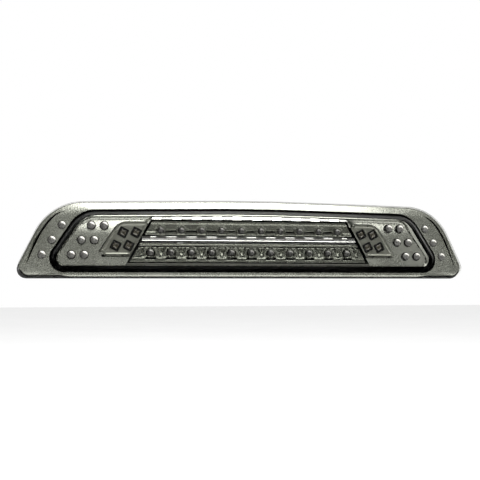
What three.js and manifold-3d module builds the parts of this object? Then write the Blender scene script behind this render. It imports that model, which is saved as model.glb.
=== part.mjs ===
// High-mount third brake light with cargo lamps for a pickup cab.
// Millimetres. X runs along the lamp, +Z is up and the lamp looks along -Y.
// The plane y = 0 is the rear face of the gasket, where the lamp seats on the cab.
// Each piece is shaped as if the front were flat. bend() then sweeps the front
// pieces back towards both ends, so that they nest as they do on the curved lamp.
import * as THREE from "three";
import { mergeVertices } from "three/addons/utils/BufferGeometryUtils.js";
import Module from "manifold-3d";

// ---------- driving dimensions ----------

// Outline of the lamp, by the corners where its straight edges would meet.
const HALF_LENGTH = 228.7;
const HEIGHT = 75;
const SLANT_RUN = 35.8; // the shoulder corner stands this far inside the foot corner
const SHOULDER_DROP = 2.5; // fall of the top edge from its level middle to its ends
const CROWN_HALF = 22.7; // half length of the level middle
const FOOT_RADIUS = 8.9;
const SHOULDER_RADIUS = 51;

// Sweep of the front: how far it falls back from the middle to the ends.
const SWEEP = 12.4;
const SWEEP_FLATTENING = 2.3; // part of the sweep that eases off near the ends
const STATION_PITCH = 28; // the curve is folded at these stations along X
const PARTING_Y = -12; // everything behind this plane stays straight

// Opening of the bezel, round which the black trim ring runs.
const OPENING_FOOT_IN = 24.8; // its foot corner, inside the lamp's foot corner
const OPENING_SHOULDER_IN = 27.5;
const RIM_BOTTOM = 5.9;
const RIM_TOP = 8.6;
const OPENING_FOOT_RADIUS = 13.4;
const OPENING_SHOULDER_RADIUS = 28.7;
const TRIM_WIDTH = 6.4;

// Depths, from the mounting plane to the front of the straightened lamp.
const FACE_Y = -34;
const LENS_WALL = 2;
const LENS_RIM_WIDTH = 6;
const LENS_RIM_DEPTH = 4;
const LENS_REAR_Y = -8.2;
const BEZEL_FRONT_Y = -29.2;
const BEZEL_WALL = 1.6;
const BEZEL_RIM_WIDTH = 4;
const BEZEL_RIM_DEPTH = 3;
const BEZEL_REAR_Y = -10.9;
const TRIM_FRONT_Y = -31.5;
const TRIM_REAR_Y = -23.6;
const TRIM_ROUNDING = 1.6;
const PLATE_FRONT_Y = -26.4;
const PLATE_WALL = 1.6;
const PLATE_FLANGE_Y = -21.7; // rear of the frame's flange, which the housing posts carry
const PLATE_FLANGE_WIDTH = 1.2; // beyond the opening
const CUP_FRONT_Y = -25.6;

// Centre panel with its two rows of brake LEDs.
const PANEL_FOOT_IN = 85.1; // inside the opening's foot corner
const PANEL_SHOULDER_IN = 68.6;
const PANEL_DROP = 4.6; // below the inner edge of the trim ring
const PANEL_RISE = 2.7; // above its lower inner edge
const PANEL_BORDER = 2.2; // dark gap beside its slanted ends
const UPPER_ROW_COUNT = 10;
const LOWER_ROW_COUNT = 11;
const UPPER_ROW_DROP = 9.2; // row centre below the panel's top edge
const LOWER_ROW_RISE = 9.8; // row centre above the panel's bottom edge
const UPPER_CUP_HEIGHT = 14.6;
const LOWER_CUP_HEIGHT = 19;
const ROW_MARGIN = 15.6; // from the last lower LED to the panel's slanted end
const BRAKE_LED_DIAMETER = 5;
const CUP_DIAMETER = 10;
const BAR_FRONT_Y = -27.6;
const BRAKE_BOARD_HEIGHT = 12;

// Round cargo and wing LEDs, in rows that step outwards going down.
const LED_DIAMETER = 8.6;
const LED_FLANGE_WIDTH = 0.5; // beyond the body of an LED
const LED_FLANGE_THICKNESS = 1;
const LED_TOP_GAP = 0.9; // from the top row to the frame's wall above it
const LED_FOOT_GAP = 3.4; // from the bottom row to the frame's wall below it
const LED_ROW_COUNT = 3;
const CARGO_COLUMN_PITCH = 12.1;
const CARGO_GAP = 4.1; // from the outer column to the frame's slanted wall
const CARGO_LED_TIP_Y = -30.6;
const WING_GAP = 0.65; // from the wing LEDs to the trim ring
const WING_LED_TIP_Y = -31.5;

// Raised tiles with four square LEDs each, beside the centre panel.
const TILE_GAP = 2.6;
const TILE_TOP_WIDTH = 28.2;
const TILE_FOOT_WIDTH = 31.5;
const TILE_TOP_IN = 1.2; // below the panel's top edge
const TILE_FOOT_IN = 5.8; // above its bottom edge
const TILE_CORNER_RADIUS = 3;
const TILE_FRONT_Y = -28.4;
const TILE_LEDGE = 0.8; // how far a tile rests on the frame round its window
const SQUARE_LED_SIDE = 8.6;
const SQUARE_LED_FRONT_Y = -29.4;
const SQUARE_LED_DEPTH = 4.6;
const SQUARE_LED_TURN = Math.PI * 0.15;
const SQUARE_COLUMN_PITCH = 12.3;
const SQUARE_ROW_PITCH = 12.6;
const SQUARE_INSET = 8.8; // from the inner column to the panel's slanted end

// Circuit boards.
const BOARD_THICKNESS = 1.2;
const BOARD_RADIUS = 4;
const BOARD_MARGIN = 0.2; // board beyond the body of an LED
const LED_SEAT = 0.8; // from an LED to the leaning plate or board beside it

// Rear housing, its tub and what is on it.
const GASKET_THICKNESS = 3;
const GASKET_INSET = 3;
const GASKET_WIDTH = 10;
const FLOOR_THICKNESS = 3;
const RIM_WALL = 2;
const TUB_HALF_LENGTH = 92;
const TUB_HALF_HEIGHT = 21;
const TUB_WALL = 2.5;
const TUB_DEPTH = 13;
const TUB_RADIUS = 8;
const POST_DIAMETER = 5;
const POST_X = [70, 140];
const STUD_X = 132;
const STUD_Z = 12;
const STUD_DIAMETER = 5;
const STUD_LENGTH = 18;
const STUD_HEAD_ACROSS = 10;
const STUD_HEAD_THICKNESS = 3;
const NUT_ACROSS = 9.2;
const NUT_THICKNESS = 4;
const NUT_FLANGE_DIAMETER = 12;
const NUT_FLANGE_THICKNESS = 1.2;
const CAB_SHEET = 1.5; // steel that the nuts clamp against the gasket
const PIN_X = 112;
const PIN_DIAMETER = 6;
const PIN_LENGTH = 8;
const DRIVER_BOARD_LENGTH = 110;
const DRIVER_BOARD_HEIGHT = 30;
const DRIVER_BOARD_REAR_Y = 4;
const DRIVER_SCREW_X = 47;
const SCREW_DIAMETER = 3;
const SCREW_HEAD_WIDTH = 1.3; // beyond the shank
const SCREW_HEAD_HEIGHT = 2;
const SCREW_LENGTH = 5;
const STANDOFF_DIAMETER = 6.6;
const GROMMET_X = -66;
const GROMMET_BORE = 14; // hole in the tub wall
const GROMMET_FLANGE_WIDTH = 3; // beyond the bore
const GROMMET_LIP = 2.2;
const GROMMET_WIRE_HOLE = 7;
const VENT_X = 68;
const VENT_BORE = 8;
const VENT_CAP_WIDTH = 3; // beyond the bore
const VENT_CAP_HEIGHT = 3.5;

// Clearances.
const FIT = 0.3; // between two pieces that touch
const LENS_FIT = 0.5; // between the lens and what stands inside it
const ARC_STEPS = 3; // half the number of facets on a rounded corner
const ROUND_SIDES = 16;

// ---------- places worked out from them ----------

const TOP_Z = HEIGHT / 2;
const BOTTOM_Z = -HEIGHT / 2;
const FLOOR_REAR_Y = -GASKET_THICKNESS - FIT;
const FLOOR_FRONT_Y = FLOOR_REAR_Y - FLOOR_THICKNESS;
const EDGE_SLOPE = SHOULDER_DROP / (HALF_LENGTH - SLANT_RUN - CROWN_HALF);

const openingFootX = HALF_LENGTH - OPENING_FOOT_IN;
const openingShoulderX = HALF_LENGTH - SLANT_RUN - OPENING_SHOULDER_IN;
const openingTopZ = TOP_Z - RIM_TOP;
const openingBottomZ = BOTTOM_Z + RIM_BOTTOM;
const panelTopZ = openingTopZ - TRIM_WIDTH - PANEL_DROP;
const panelBottomZ = openingBottomZ + TRIM_WIDTH + PANEL_RISE;
const panelFootX = openingFootX - PANEL_FOOT_IN;
const panelShoulderX = openingShoulderX - PANEL_SHOULDER_IN;
const upperRowZ = panelTopZ - UPPER_ROW_DROP;
const lowerRowZ = panelBottomZ + LOWER_ROW_RISE;
const brakePitch = (2 * (panelEdgeX(lowerRowZ) - ROW_MARGIN)) / (LOWER_ROW_COUNT - 1);

// A closed outline is a list of corners, counterclockwise as the rear of the lamp
// sees X and Z: each has its place and the radius that rounds it.
const lampOutline = mirrored([
  { x: HALF_LENGTH, z: BOTTOM_Z, radius: FOOT_RADIUS },
  { x: HALF_LENGTH - SLANT_RUN, z: TOP_Z - SHOULDER_DROP, radius: SHOULDER_RADIUS },
  { x: CROWN_HALF, z: TOP_Z, radius: 0 },
]);
const openingOutline = mirrored([
  { x: openingFootX, z: openingBottomZ, radius: OPENING_FOOT_RADIUS },
  {
    x: openingShoulderX,
    z: openingTopZ - EDGE_SLOPE * (openingShoulderX - CROWN_HALF),
    radius: OPENING_SHOULDER_RADIUS,
  },
  { x: CROWN_HALF, z: openingTopZ, radius: 0 },
]);
const plateOutline = inset(openingOutline, TRIM_WIDTH + FIT);

// X of the slanted side of an outline at a height z.
function slantX(outline, z) {
  const [foot, shoulder] = outline;
  return foot.x + ((shoulder.x - foot.x) * (z - foot.z)) / (shoulder.z - foot.z);
}

function panelEdgeX(z) {
  const share = (z - panelBottomZ) / (panelTopZ - panelBottomZ);
  return panelFootX + (panelShoulderX - panelFootX) * share;
}

// ---------- outlines ----------

// The right half's corners, from the foot up, with their mirror images on the left.
function mirrored(corners) {
  const left = corners.map((corner) => ({ ...corner, x: -corner.x })).reverse();
  return [...corners, ...left];
}

// The same outline with each edge moved inwards, or outwards where distance < 0.
function inset(outline, distance) {
  const count = outline.length;
  const edges = outline.map((from, i) => {
    const to = outline[(i + 1) % count];
    const length = Math.hypot(to.x - from.x, to.z - from.z);
    const along = { x: (to.x - from.x) / length, z: (to.z - from.z) / length };
    return { x: from.x - along.z * distance, z: from.z + along.x * distance, along };
  });
  return outline.map((corner, i) => {
    const a = edges[(i + count - 1) % count];
    const b = edges[i];
    const cross = a.along.x * b.along.z - a.along.z * b.along.x;
    const t = ((b.x - a.x) * b.along.z - (b.z - a.z) * b.along.x) / cross;
    const radius = corner.radius > 0 ? Math.max(corner.radius - distance, 0.5) : 0;
    return { x: a.x + a.along.x * t, z: a.z + a.along.z * t, radius };
  });
}

// A THREE.Shape of the outline, with an arc at each rounded corner.
function shapeOf(outline) {
  const shape = new THREE.Shape();
  outline.forEach((corner, i) => {
    const point = new THREE.Vector2(corner.x, corner.z);
    const before = outline[(i + outline.length - 1) % outline.length];
    const after = outline[(i + 1) % outline.length];
    const back = new THREE.Vector2(before.x, before.z).sub(point).normalize();
    const on = new THREE.Vector2(after.x, after.z).sub(point).normalize();
    const half = Math.acos(THREE.MathUtils.clamp(back.dot(on), -1, 1)) / 2;
    if (corner.radius === 0) {
      if (i === 0) shape.moveTo(point.x, point.y);
      else shape.lineTo(point.x, point.y);
      return;
    }
    const reach = corner.radius / Math.tan(half);
    const start = point.clone().addScaledVector(back, reach);
    const end = point.clone().addScaledVector(on, reach);
    const inwards = back.clone().add(on).normalize();
    const centre = point.clone().addScaledVector(inwards, corner.radius / Math.sin(half));
    const from = Math.atan2(start.y - centre.y, start.x - centre.x);
    const to = Math.atan2(end.y - centre.y, end.x - centre.x);
    if (i === 0) shape.moveTo(start.x, start.y);
    else shape.lineTo(start.x, start.y);
    shape.absarc(centre.x, centre.y, corner.radius, from, to, false);
  });
  return shape;
}

// ---------- solids ----------

const wasm = await Module();
wasm.setup();

function solidOf(geometry) {
  const bare = geometry.clone();
  bare.deleteAttribute("normal");
  bare.deleteAttribute("uv");
  const merged = mergeVertices(bare, 1e-4);
  const vertProperties = merged.attributes.position.array;
  const triVerts = new Uint32Array(merged.index.array);
  return new wasm.Manifold(new wasm.Mesh({ numProp: 3, vertProperties, triVerts }));
}

function geometryOf(solid) {
  const mesh = solid.getMesh();
  const geometry = new THREE.BufferGeometry();
  geometry.setAttribute("position", new THREE.BufferAttribute(mesh.vertProperties, 3));
  geometry.setIndex(new THREE.BufferAttribute(mesh.triVerts, 1));
  return geometry;
}

// The outline pushed out along Y between two depths, in either order.
function prism(outline, yA, yB) {
  const depth = Math.abs(yA - yB);
  const settings = { depth, bevelEnabled: false, curveSegments: ARC_STEPS };
  const geometry = new THREE.ExtrudeGeometry(shapeOf(outline), settings);
  geometry.rotateX(Math.PI / 2).translate(0, Math.max(yA, yB), 0);
  return solidOf(geometry);
}

// A prism whose front edge is rounded over a width and a depth.
function rimmedPrism(outline, rearY, frontY, width, depth, segments) {
  const settings = {
    depth: rearY - frontY,
    bevelEnabled: true,
    bevelSize: width,
    bevelOffset: -width,
    bevelThickness: depth,
    bevelSegments: segments,
    curveSegments: ARC_STEPS,
  };
  const geometry = new THREE.ExtrudeGeometry(shapeOf(outline), settings);
  geometry.rotateX(Math.PI / 2).translate(0, rearY + depth, 0);
  return solidOf(geometry).intersect(prism(inset(outline, -1), rearY, frontY - 1));
}

// The outline's outer shell with its front open: a wall between two depths.
function ring(outer, width, yA, yB) {
  const middle = inset(outer, width);
  const low = Math.min(yA, yB) - 1;
  const high = Math.max(yA, yB) + 1;
  return prism(outer, yA, yB).subtract(prism(middle, low, high));
}

// A round bar along Y, between two depths.
function roundBar(diameter, yA, yB, x, z, sides = ROUND_SIDES) {
  const length = Math.abs(yA - yB);
  const geometry = new THREE.CylinderGeometry(diameter / 2, diameter / 2, length, sides);
  geometry.translate(x, (yA + yB) / 2, z);
  return solidOf(geometry);
}

// A body turned about the Y axis from [radius, y] points, rear centre to front centre.
function turned(points, sides = ROUND_SIDES) {
  const profile = points.map(([radius, y]) => new THREE.Vector2(radius, y));
  return new THREE.LatheGeometry(profile.reverse(), sides);
}

// ---------- the swept front ----------

// How far the front has fallen back at x: a parabola that flattens towards the ends.
function sweepCurve(x) {
  const share = x / HALF_LENGTH;
  return (SWEEP + SWEEP_FLATTENING) * share ** 2 - SWEEP_FLATTENING * share ** 4;
}

// The same curve, straight between stations, as every swept piece follows it.
function sweepAt(x) {
  const station = Math.floor(x / STATION_PITCH) * STATION_PITCH;
  const share = (x - station) / STATION_PITCH;
  return sweepCurve(station) * (1 - share) + sweepCurve(station + STATION_PITCH) * share;
}

// A slice of space between two stations, taller and deeper than the lamp.
function sliceOf(fromX) {
  const size = 4 * HEIGHT;
  const geometry = new THREE.BoxGeometry(STATION_PITCH, size, size);
  return solidOf(geometry.translate(fromX + STATION_PITCH / 2, 0, 0));
}

// Sweeps a straight piece back along the lamp's curve: it is sliced at the stations,
// each slice is moved back and leant, and the slices are joined again. What lies behind
// the parting plane stays where it is, so that rear edges stay in one plane.
function bend(solid) {
  const slices = [];
  const reach = Math.ceil(HALF_LENGTH / STATION_PITCH);
  for (let k = -reach; k < reach; k++) {
    const slice = solid.intersect(sliceOf(k * STATION_PITCH));
    if (slice.isEmpty()) continue;
    const geometry = geometryOf(slice);
    const position = geometry.getAttribute("position");
    for (let i = 0; i < position.count; i++) {
      const x = onGrid(position.getX(i));
      const y = onGrid(position.getY(i));
      const z = onGrid(position.getZ(i));
      position.setXYZ(i, x, onGrid(y < PARTING_Y ? y + sweepAt(x) : y), z);
    }
    slices.push(solidOf(geometry));
  }
  return geometryOf(slices.reduce((body, slice) => body.add(slice)));
}

// A tenth of a micron, so that the faces where two slices meet are the same.
function onGrid(value) {
  return Math.round(value * 1e4) / 1e4;
}

// Leans a stiff board against the curve between two places, without folding it.
function lean(solid, fromX, toX) {
  const slope = (sweepAt(toX) - sweepAt(fromX)) / (toX - fromX);
  const shear = new THREE.Matrix4().makeShear(slope, 0, 0, 0, 0, 0);
  const geometry = geometryOf(solid).applyMatrix4(shear);
  return geometry.translate(0, sweepAt(fromX) - slope * fromX, 0);
}

// ---------- materials ----------

const paint = (colour, roughness, metalness) => ({ color: colour, roughness, metalness });
const MATERIALS = {
  lens: paint(0xb9beb8, 0.05, 0),
  smokedChrome: paint(0x7d8078, 0.2, 0.9),
  chrome: paint(0xd8dad6, 0.1, 1),
  glossBlack: paint(0x0a0a0b, 0.12, 0),
  housing: paint(0x17181a, 0.6, 0),
  foam: paint(0x26262a, 0.95, 0),
  rubber: paint(0x1b1b1d, 0.8, 0),
  sealant: paint(0x101012, 0.5, 0),
  board: paint(0xe7e9e6, 0.5, 0),
  led: paint(0xa8aca6, 0.08, 0),
  ledFrame: paint(0x2b2a28, 0.4, 0),
  steel: paint(0xa9abad, 0.35, 1),
};

const root = new THREE.Group();

function place(name, geometry, material, x = 0, y = 0, z = 0) {
  const mesh = new THREE.Mesh(geometry, new THREE.MeshStandardMaterial(MATERIALS[material]));
  mesh.name = name;
  mesh.position.set(x, y, z);
  root.add(mesh);
  return mesh;
}

// ---------- places of the LEDs ----------

// Both sides of the lamp, as a name and the sign of X.
const SIDES = [
  ["left", -1],
  ["right", 1],
];

const rowNumbers = Array.from({ length: LED_ROW_COUNT }, (_, row) => row);
const frameWallInner = inset(plateOutline, PLATE_WALL);
const ledReach = LED_DIAMETER / 2 + LED_FLANGE_WIDTH;
const topRowZ = frameWallInner[1].z - LED_TOP_GAP - ledReach;
const footRowZ = frameWallInner[0].z + LED_FOOT_GAP + ledReach;
const rowZ = (row) => topRowZ + ((footRowZ - topRowZ) * row) / (LED_ROW_COUNT - 1);

// How far along X a distance square to an outline's slanted side reaches.
function acrossSlant(outline, distance) {
  const [foot, shoulder] = outline;
  return distance * Math.hypot(1, (shoulder.x - foot.x) / (shoulder.z - foot.z));
}
const trimInner = inset(openingOutline, TRIM_WIDTH);
const wingLeds = rowNumbers.map((row) => {
  const offset = acrossSlant(openingOutline, ledReach + WING_GAP);
  return { x: slantX(openingOutline, rowZ(row)) + offset, z: rowZ(row) };
});
const cargoLeds = rowNumbers.flatMap((row) => {
  const offset = acrossSlant(frameWallInner, ledReach + CARGO_GAP);
  const outerX = slantX(frameWallInner, rowZ(row)) - offset;
  return [0, 1].map((column) => ({ x: outerX - column * CARGO_COLUMN_PITCH, z: rowZ(row) }));
});

const tileTopZ = panelTopZ - TILE_TOP_IN;
const tileFootZ = panelBottomZ + TILE_FOOT_IN;
const tileMiddleZ = (tileTopZ + tileFootZ) / 2;
const squareLeds = [0.5, -0.5].flatMap((row) => {
  const z = tileMiddleZ + row * SQUARE_ROW_PITCH;
  return [0, 1].map((column) => {
    return { x: panelEdgeX(z) + SQUARE_INSET + column * SQUARE_COLUMN_PITCH, z };
  });
});

function brakeRow(count, z) {
  return Array.from({ length: count }, (_, i) => ({ x: (i - (count - 1) / 2) * brakePitch, z }));
}
const upperRow = brakeRow(UPPER_ROW_COUNT, upperRowZ);
const lowerRow = brakeRow(LOWER_ROW_COUNT, lowerRowZ);

// The four corners of a tile or of its window, leaning as the panel's end does.
function tileOutline(side, shrink) {
  const corners = [
    { x: panelEdgeX(tileFootZ) + TILE_GAP, z: tileFootZ, radius: TILE_CORNER_RADIUS },
    {
      x: panelEdgeX(tileFootZ) + TILE_GAP + TILE_FOOT_WIDTH,
      z: tileFootZ,
      radius: TILE_CORNER_RADIUS,
    },
    {
      x: panelEdgeX(tileTopZ) + TILE_GAP + TILE_TOP_WIDTH,
      z: tileTopZ,
      radius: TILE_CORNER_RADIUS,
    },
    { x: panelEdgeX(tileTopZ) + TILE_GAP, z: tileTopZ, radius: TILE_CORNER_RADIUS },
  ];
  if (side > 0) return inset(corners, shrink);
  return inset(corners.map((corner) => ({ ...corner, x: -corner.x })).reverse(), shrink);
}

// A block for a square LED or its window, turned as the tile leans.
function squareBlock(side, yA, yB, led, sign) {
  const geometry = new THREE.BoxGeometry(side, Math.abs(yA - yB), side);
  geometry.rotateY(sign * -SQUARE_LED_TURN).translate(sign * led.x, (yA + yB) / 2, led.z);
  return solidOf(geometry);
}

// ---------- lens, seal and gasket ----------

// A clear cap over the whole front, with a rounded rim and a skirt back to the seal.
function outerLens() {
  const outside = rimmedPrism(
    lampOutline,
    LENS_REAR_Y,
    FACE_Y,
    LENS_RIM_WIDTH,
    LENS_RIM_DEPTH,
    3,
  );
  const inside = rimmedPrism(
    inset(lampOutline, LENS_WALL),
    LENS_REAR_Y + 1,
    FACE_Y + LENS_WALL,
    LENS_RIM_WIDTH,
    LENS_RIM_DEPTH,
    3,
  );
  return bend(outside.subtract(inside));
}
place("outer_lens", outerLens(), "lens");

// Bead of sealant under the lens skirt.
const sealSolid = ring(
  inset(lampOutline, FIT),
  LENS_WALL - FIT,
  FLOOR_FRONT_Y - FIT,
  LENS_REAR_Y + FIT,
);
place("lens_seal", geometryOf(sealSolid), "sealant");

// Foam ring that is squeezed against the cab.
const gasketOutline = inset(lampOutline, GASKET_INSET);
const gasketSolid = ring(gasketOutline, GASKET_WIDTH, 0, -GASKET_THICKNESS);
place("mounting_gasket", geometryOf(gasketSolid), "foam");

// ---------- rear housing ----------

const studPlaces = SIDES.flatMap(([name, sign]) => [
  { name: `upper_${name}`, x: sign * STUD_X, z: STUD_Z },
  { name: `lower_${name}`, x: sign * STUD_X, z: -STUD_Z },
]);
const standoffFrontY = DRIVER_BOARD_REAR_Y + FIT;
const tubFloorY = TUB_DEPTH - TUB_WALL;

// Rectangle with rounded corners, centred on the lamp.
function tubOutline(shrink) {
  const x = TUB_HALF_LENGTH - shrink;
  const z = TUB_HALF_HEIGHT - shrink;
  const radius = TUB_RADIUS - shrink;
  return mirrored([
    { x, z: -z, radius },
    { x, z, radius },
  ]);
}

// Tray behind the lamp: a floor that carries the gasket, a low wall inside the lens
// skirt, a tub through the cab's opening, posts, pins and the holes for what is fixed.
function rearHousing() {
  const wallOutline = inset(lampOutline, LENS_WALL + FIT);
  const wallFrontY = BEZEL_REAR_Y + FIT;
  let body = prism(lampOutline, FLOOR_REAR_Y, FLOOR_FRONT_Y);
  body = body.add(ring(wallOutline, RIM_WALL, FLOOR_FRONT_Y + 1, wallFrontY));
  body = body.add(prism(tubOutline(0), TUB_DEPTH, FLOOR_FRONT_Y + 1));
  body = body.subtract(prism(tubOutline(TUB_WALL), tubFloorY, FLOOR_FRONT_Y - 1));
  const flangeMiddle = inset(openingOutline, TRIM_WIDTH / 2);
  const postTopZ = flangeMiddle[2].z - EDGE_SLOPE * (POST_X[1] - CROWN_HALF);
  for (const [, sign] of SIDES) {
    for (const x of POST_X) {
      const postFrontY = PLATE_FLANGE_Y + sweepAt(x + POST_DIAMETER) + FIT;
      for (const z of [postTopZ, flangeMiddle[0].z]) {
        body = body.add(roundBar(POST_DIAMETER, FLOOR_FRONT_Y + 1, postFrontY, sign * x, z, 10));
      }
    }
    body = body.add(roundBar(PIN_DIAMETER, FLOOR_REAR_Y - 1, PIN_LENGTH, sign * PIN_X, 0, 12));
    const standoff = roundBar(
      STANDOFF_DIAMETER,
      tubFloorY + 1,
      standoffFrontY,
      sign * DRIVER_SCREW_X,
      0,
      12,
    );
    body = body.add(standoff);
    const screwHole = roundBar(
      SCREW_DIAMETER + 2 * FIT,
      standoffFrontY - 1,
      DRIVER_BOARD_REAR_Y + SCREW_LENGTH,
      sign * DRIVER_SCREW_X,
      0,
      12,
    );
    body = body.subtract(screwHole);
  }
  for (const stud of studPlaces) {
    const hole = STUD_DIAMETER + 2 * FIT;
    body = body.subtract(roundBar(hole, FLOOR_REAR_Y + 1, FLOOR_FRONT_Y - 1, stud.x, stud.z));
  }
  const wallNear = tubFloorY - 1;
  const wallFar = TUB_DEPTH + 1;
  body = body.subtract(roundBar(GROMMET_BORE, wallNear, wallFar, GROMMET_X, 0));
  body = body.subtract(roundBar(VENT_BORE, wallNear, wallFar, VENT_X, 0));
  return geometryOf(body);
}
place("rear_housing", rearHousing(), "housing");

// Square-shouldered studs are held by their heads inside the housing, and flange nuts
// clamp the cab's steel from behind.
function stud() {
  const neck = FLOOR_FRONT_Y - FIT;
  const head = roundBar(STUD_HEAD_ACROSS, neck, neck - STUD_HEAD_THICKNESS, 0, 0, 6);
  return geometryOf(head.add(roundBar(STUD_DIAMETER, neck - 1, STUD_LENGTH, 0, 0)));
}
function flangeNut() {
  const seatY = CAB_SHEET + FIT;
  const bore = roundBar(STUD_DIAMETER + 2 * FIT, seatY - 1, STUD_LENGTH, 0, 0);
  const flange = roundBar(NUT_FLANGE_DIAMETER, seatY, seatY + NUT_FLANGE_THICKNESS, 0, 0);
  const hexagon = roundBar(NUT_ACROSS, seatY, seatY + NUT_THICKNESS, 0, 0, 6);
  return geometryOf(flange.add(hexagon).subtract(bore));
}
for (const { name, x, z } of studPlaces) {
  place(`${name}_stud`, stud(), "steel", x, 0, z);
  place(`${name}_nut`, flangeNut(), "steel", x, 0, z);
}

// Rubber grommet that snaps into the tub wall, with the hole that the wires leave by.
const grommetWaist = GROMMET_BORE / 2 - FIT;
const grommetWire = GROMMET_WIRE_HOLE / 2;
const grommetFlange = GROMMET_BORE / 2 + GROMMET_FLANGE_WIDTH;
const grommetProfile = [
  [grommetWire, tubFloorY - FIT - GROMMET_LIP],
  [grommetWire, TUB_DEPTH + FIT + GROMMET_LIP],
  [grommetFlange, TUB_DEPTH + FIT + GROMMET_LIP],
  [grommetFlange, TUB_DEPTH + FIT],
  [grommetWaist, TUB_DEPTH + FIT],
  [grommetWaist, tubFloorY - FIT],
  [grommetFlange, tubFloorY - FIT],
  [grommetFlange, tubFloorY - FIT - GROMMET_LIP],
  [grommetWire, tubFloorY - FIT - GROMMET_LIP],
];
place("wire_grommet", turned(grommetProfile), "rubber", GROMMET_X);

// Breather vent: a cap outside the tub with a stem in the wall.
const ventStem = VENT_BORE / 2 - FIT;
const ventCap = VENT_BORE / 2 + VENT_CAP_WIDTH;
const ventProfile = [
  [0, TUB_DEPTH + FIT + VENT_CAP_HEIGHT],
  [ventCap - 1, TUB_DEPTH + FIT + VENT_CAP_HEIGHT],
  [ventCap, TUB_DEPTH + FIT + VENT_CAP_HEIGHT - 1],
  [ventCap, TUB_DEPTH + FIT],
  [ventStem, TUB_DEPTH + FIT],
  [ventStem, tubFloorY],
  [0, tubFloorY],
];
place("breather_vent", turned(ventProfile), "rubber", VENT_X);

// Driver board on its two standoffs in the tub, with a screw through each end.
const driverFrontY = DRIVER_BOARD_REAR_Y - BOARD_THICKNESS;
function driverBoard() {
  const halfLength = DRIVER_BOARD_LENGTH / 2;
  const halfHeight = DRIVER_BOARD_HEIGHT / 2;
  let body = prism(
    mirrored([
      { x: halfLength, z: -halfHeight, radius: 1 },
      { x: halfLength, z: halfHeight, radius: 1 },
    ]),
    DRIVER_BOARD_REAR_Y,
    driverFrontY,
  );
  for (const [, sign] of SIDES) {
    const hole = SCREW_DIAMETER + 2 * FIT;
    const x = sign * DRIVER_SCREW_X;
    body = body.subtract(roundBar(hole, DRIVER_BOARD_REAR_Y + 1, driverFrontY - 1, x, 0, 12));
  }
  return geometryOf(body);
}
place("driver_board", driverBoard(), "board");

function boardScrew() {
  const seatY = driverFrontY - FIT;
  const head = roundBar(SCREW_DIAMETER + 2 * SCREW_HEAD_WIDTH, seatY, seatY - SCREW_HEAD_HEIGHT, 0, 0);
  const shankEnd = DRIVER_BOARD_REAR_Y + SCREW_LENGTH - FIT;
  return geometryOf(head.add(roundBar(SCREW_DIAMETER, seatY - 1, shankEnd, 0, 0, 12)));
}
for (const [name, sign] of SIDES) {
  place(`${name}_board_screw`, boardScrew(), "steel", sign * DRIVER_SCREW_X);
}

// ---------- bezel, trim ring and reflector frame ----------

// Smoked-chrome plate with wings, an opening for the middle and a skirt to the housing.
function bezel() {
  const outline = inset(lampOutline, LENS_WALL + LENS_FIT);
  const rim = [BEZEL_RIM_WIDTH, BEZEL_RIM_DEPTH, 1];
  let body = rimmedPrism(outline, BEZEL_REAR_Y, BEZEL_FRONT_Y, ...rim);
  const innerOutline = inset(outline, BEZEL_WALL);
  const innerFrontY = BEZEL_FRONT_Y + BEZEL_WALL;
  body = body.subtract(rimmedPrism(innerOutline, BEZEL_REAR_Y + 1, innerFrontY, ...rim));
  body = body.subtract(prism(inset(openingOutline, -FIT), BEZEL_REAR_Y, FACE_Y));
  for (const [, sign] of SIDES) {
    for (const led of wingLeds) {
      const hole = LED_DIAMETER + 2 * FIT;
      body = body.subtract(roundBar(hole, innerFrontY + 1, FACE_Y, sign * led.x, led.z));
    }
  }
  return bend(body);
}
place("wing_bezel", bezel(), "smokedChrome");

// Raised gloss black ring round the opening, with a rounded front.
function trimRing() {
  const round = [TRIM_ROUNDING, TRIM_ROUNDING, 2];
  const outside = rimmedPrism(openingOutline, TRIM_REAR_Y, TRIM_FRONT_Y, ...round);
  return bend(outside.subtract(prism(trimInner, TRIM_REAR_Y + 1, FACE_Y)));
}
place("trim_ring", trimRing(), "glossBlack");

// Plate inside the ring with a wall and a flange behind it. It holds the cargo LEDs and
// has a window for each tile and one for the centre panel.
function reflectorFrame() {
  const rearY = PLATE_FLANGE_Y;
  const plateRearY = PLATE_FRONT_Y + PLATE_WALL;
  const flangeFrontY = TRIM_REAR_Y + FIT;
  const flangeOutline = inset(openingOutline, -PLATE_FLANGE_WIDTH);
  const flangeWidth = PLATE_FLANGE_WIDTH + TRIM_WIDTH + FIT + PLATE_WALL;
  let body = prism(plateOutline, plateRearY, PLATE_FRONT_Y);
  body = body.add(ring(plateOutline, PLATE_WALL, rearY, plateRearY - 0.5));
  body = body.add(ring(flangeOutline, flangeWidth, rearY, flangeFrontY));
  for (const [, sign] of SIDES) {
    for (const led of cargoLeds) {
      const hole = LED_DIAMETER + 2 * FIT;
      body = body.subtract(roundBar(hole, plateRearY + 0.5, FACE_Y, sign * led.x, led.z));
    }
    body = body.subtract(prism(tileOutline(sign, TILE_LEDGE), plateRearY + 1, FACE_Y));
  }
  const window = mirrored([
    { x: panelFootX + PANEL_BORDER, z: panelBottomZ - FIT, radius: 1 },
    { x: panelShoulderX + PANEL_BORDER, z: panelTopZ + FIT, radius: 1 },
  ]);
  return bend(body.subtract(prism(window, plateRearY + 1, FACE_Y)));
}
place("reflector_frame", reflectorFrame(), "smokedChrome");

// ---------- side clusters ----------

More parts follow.
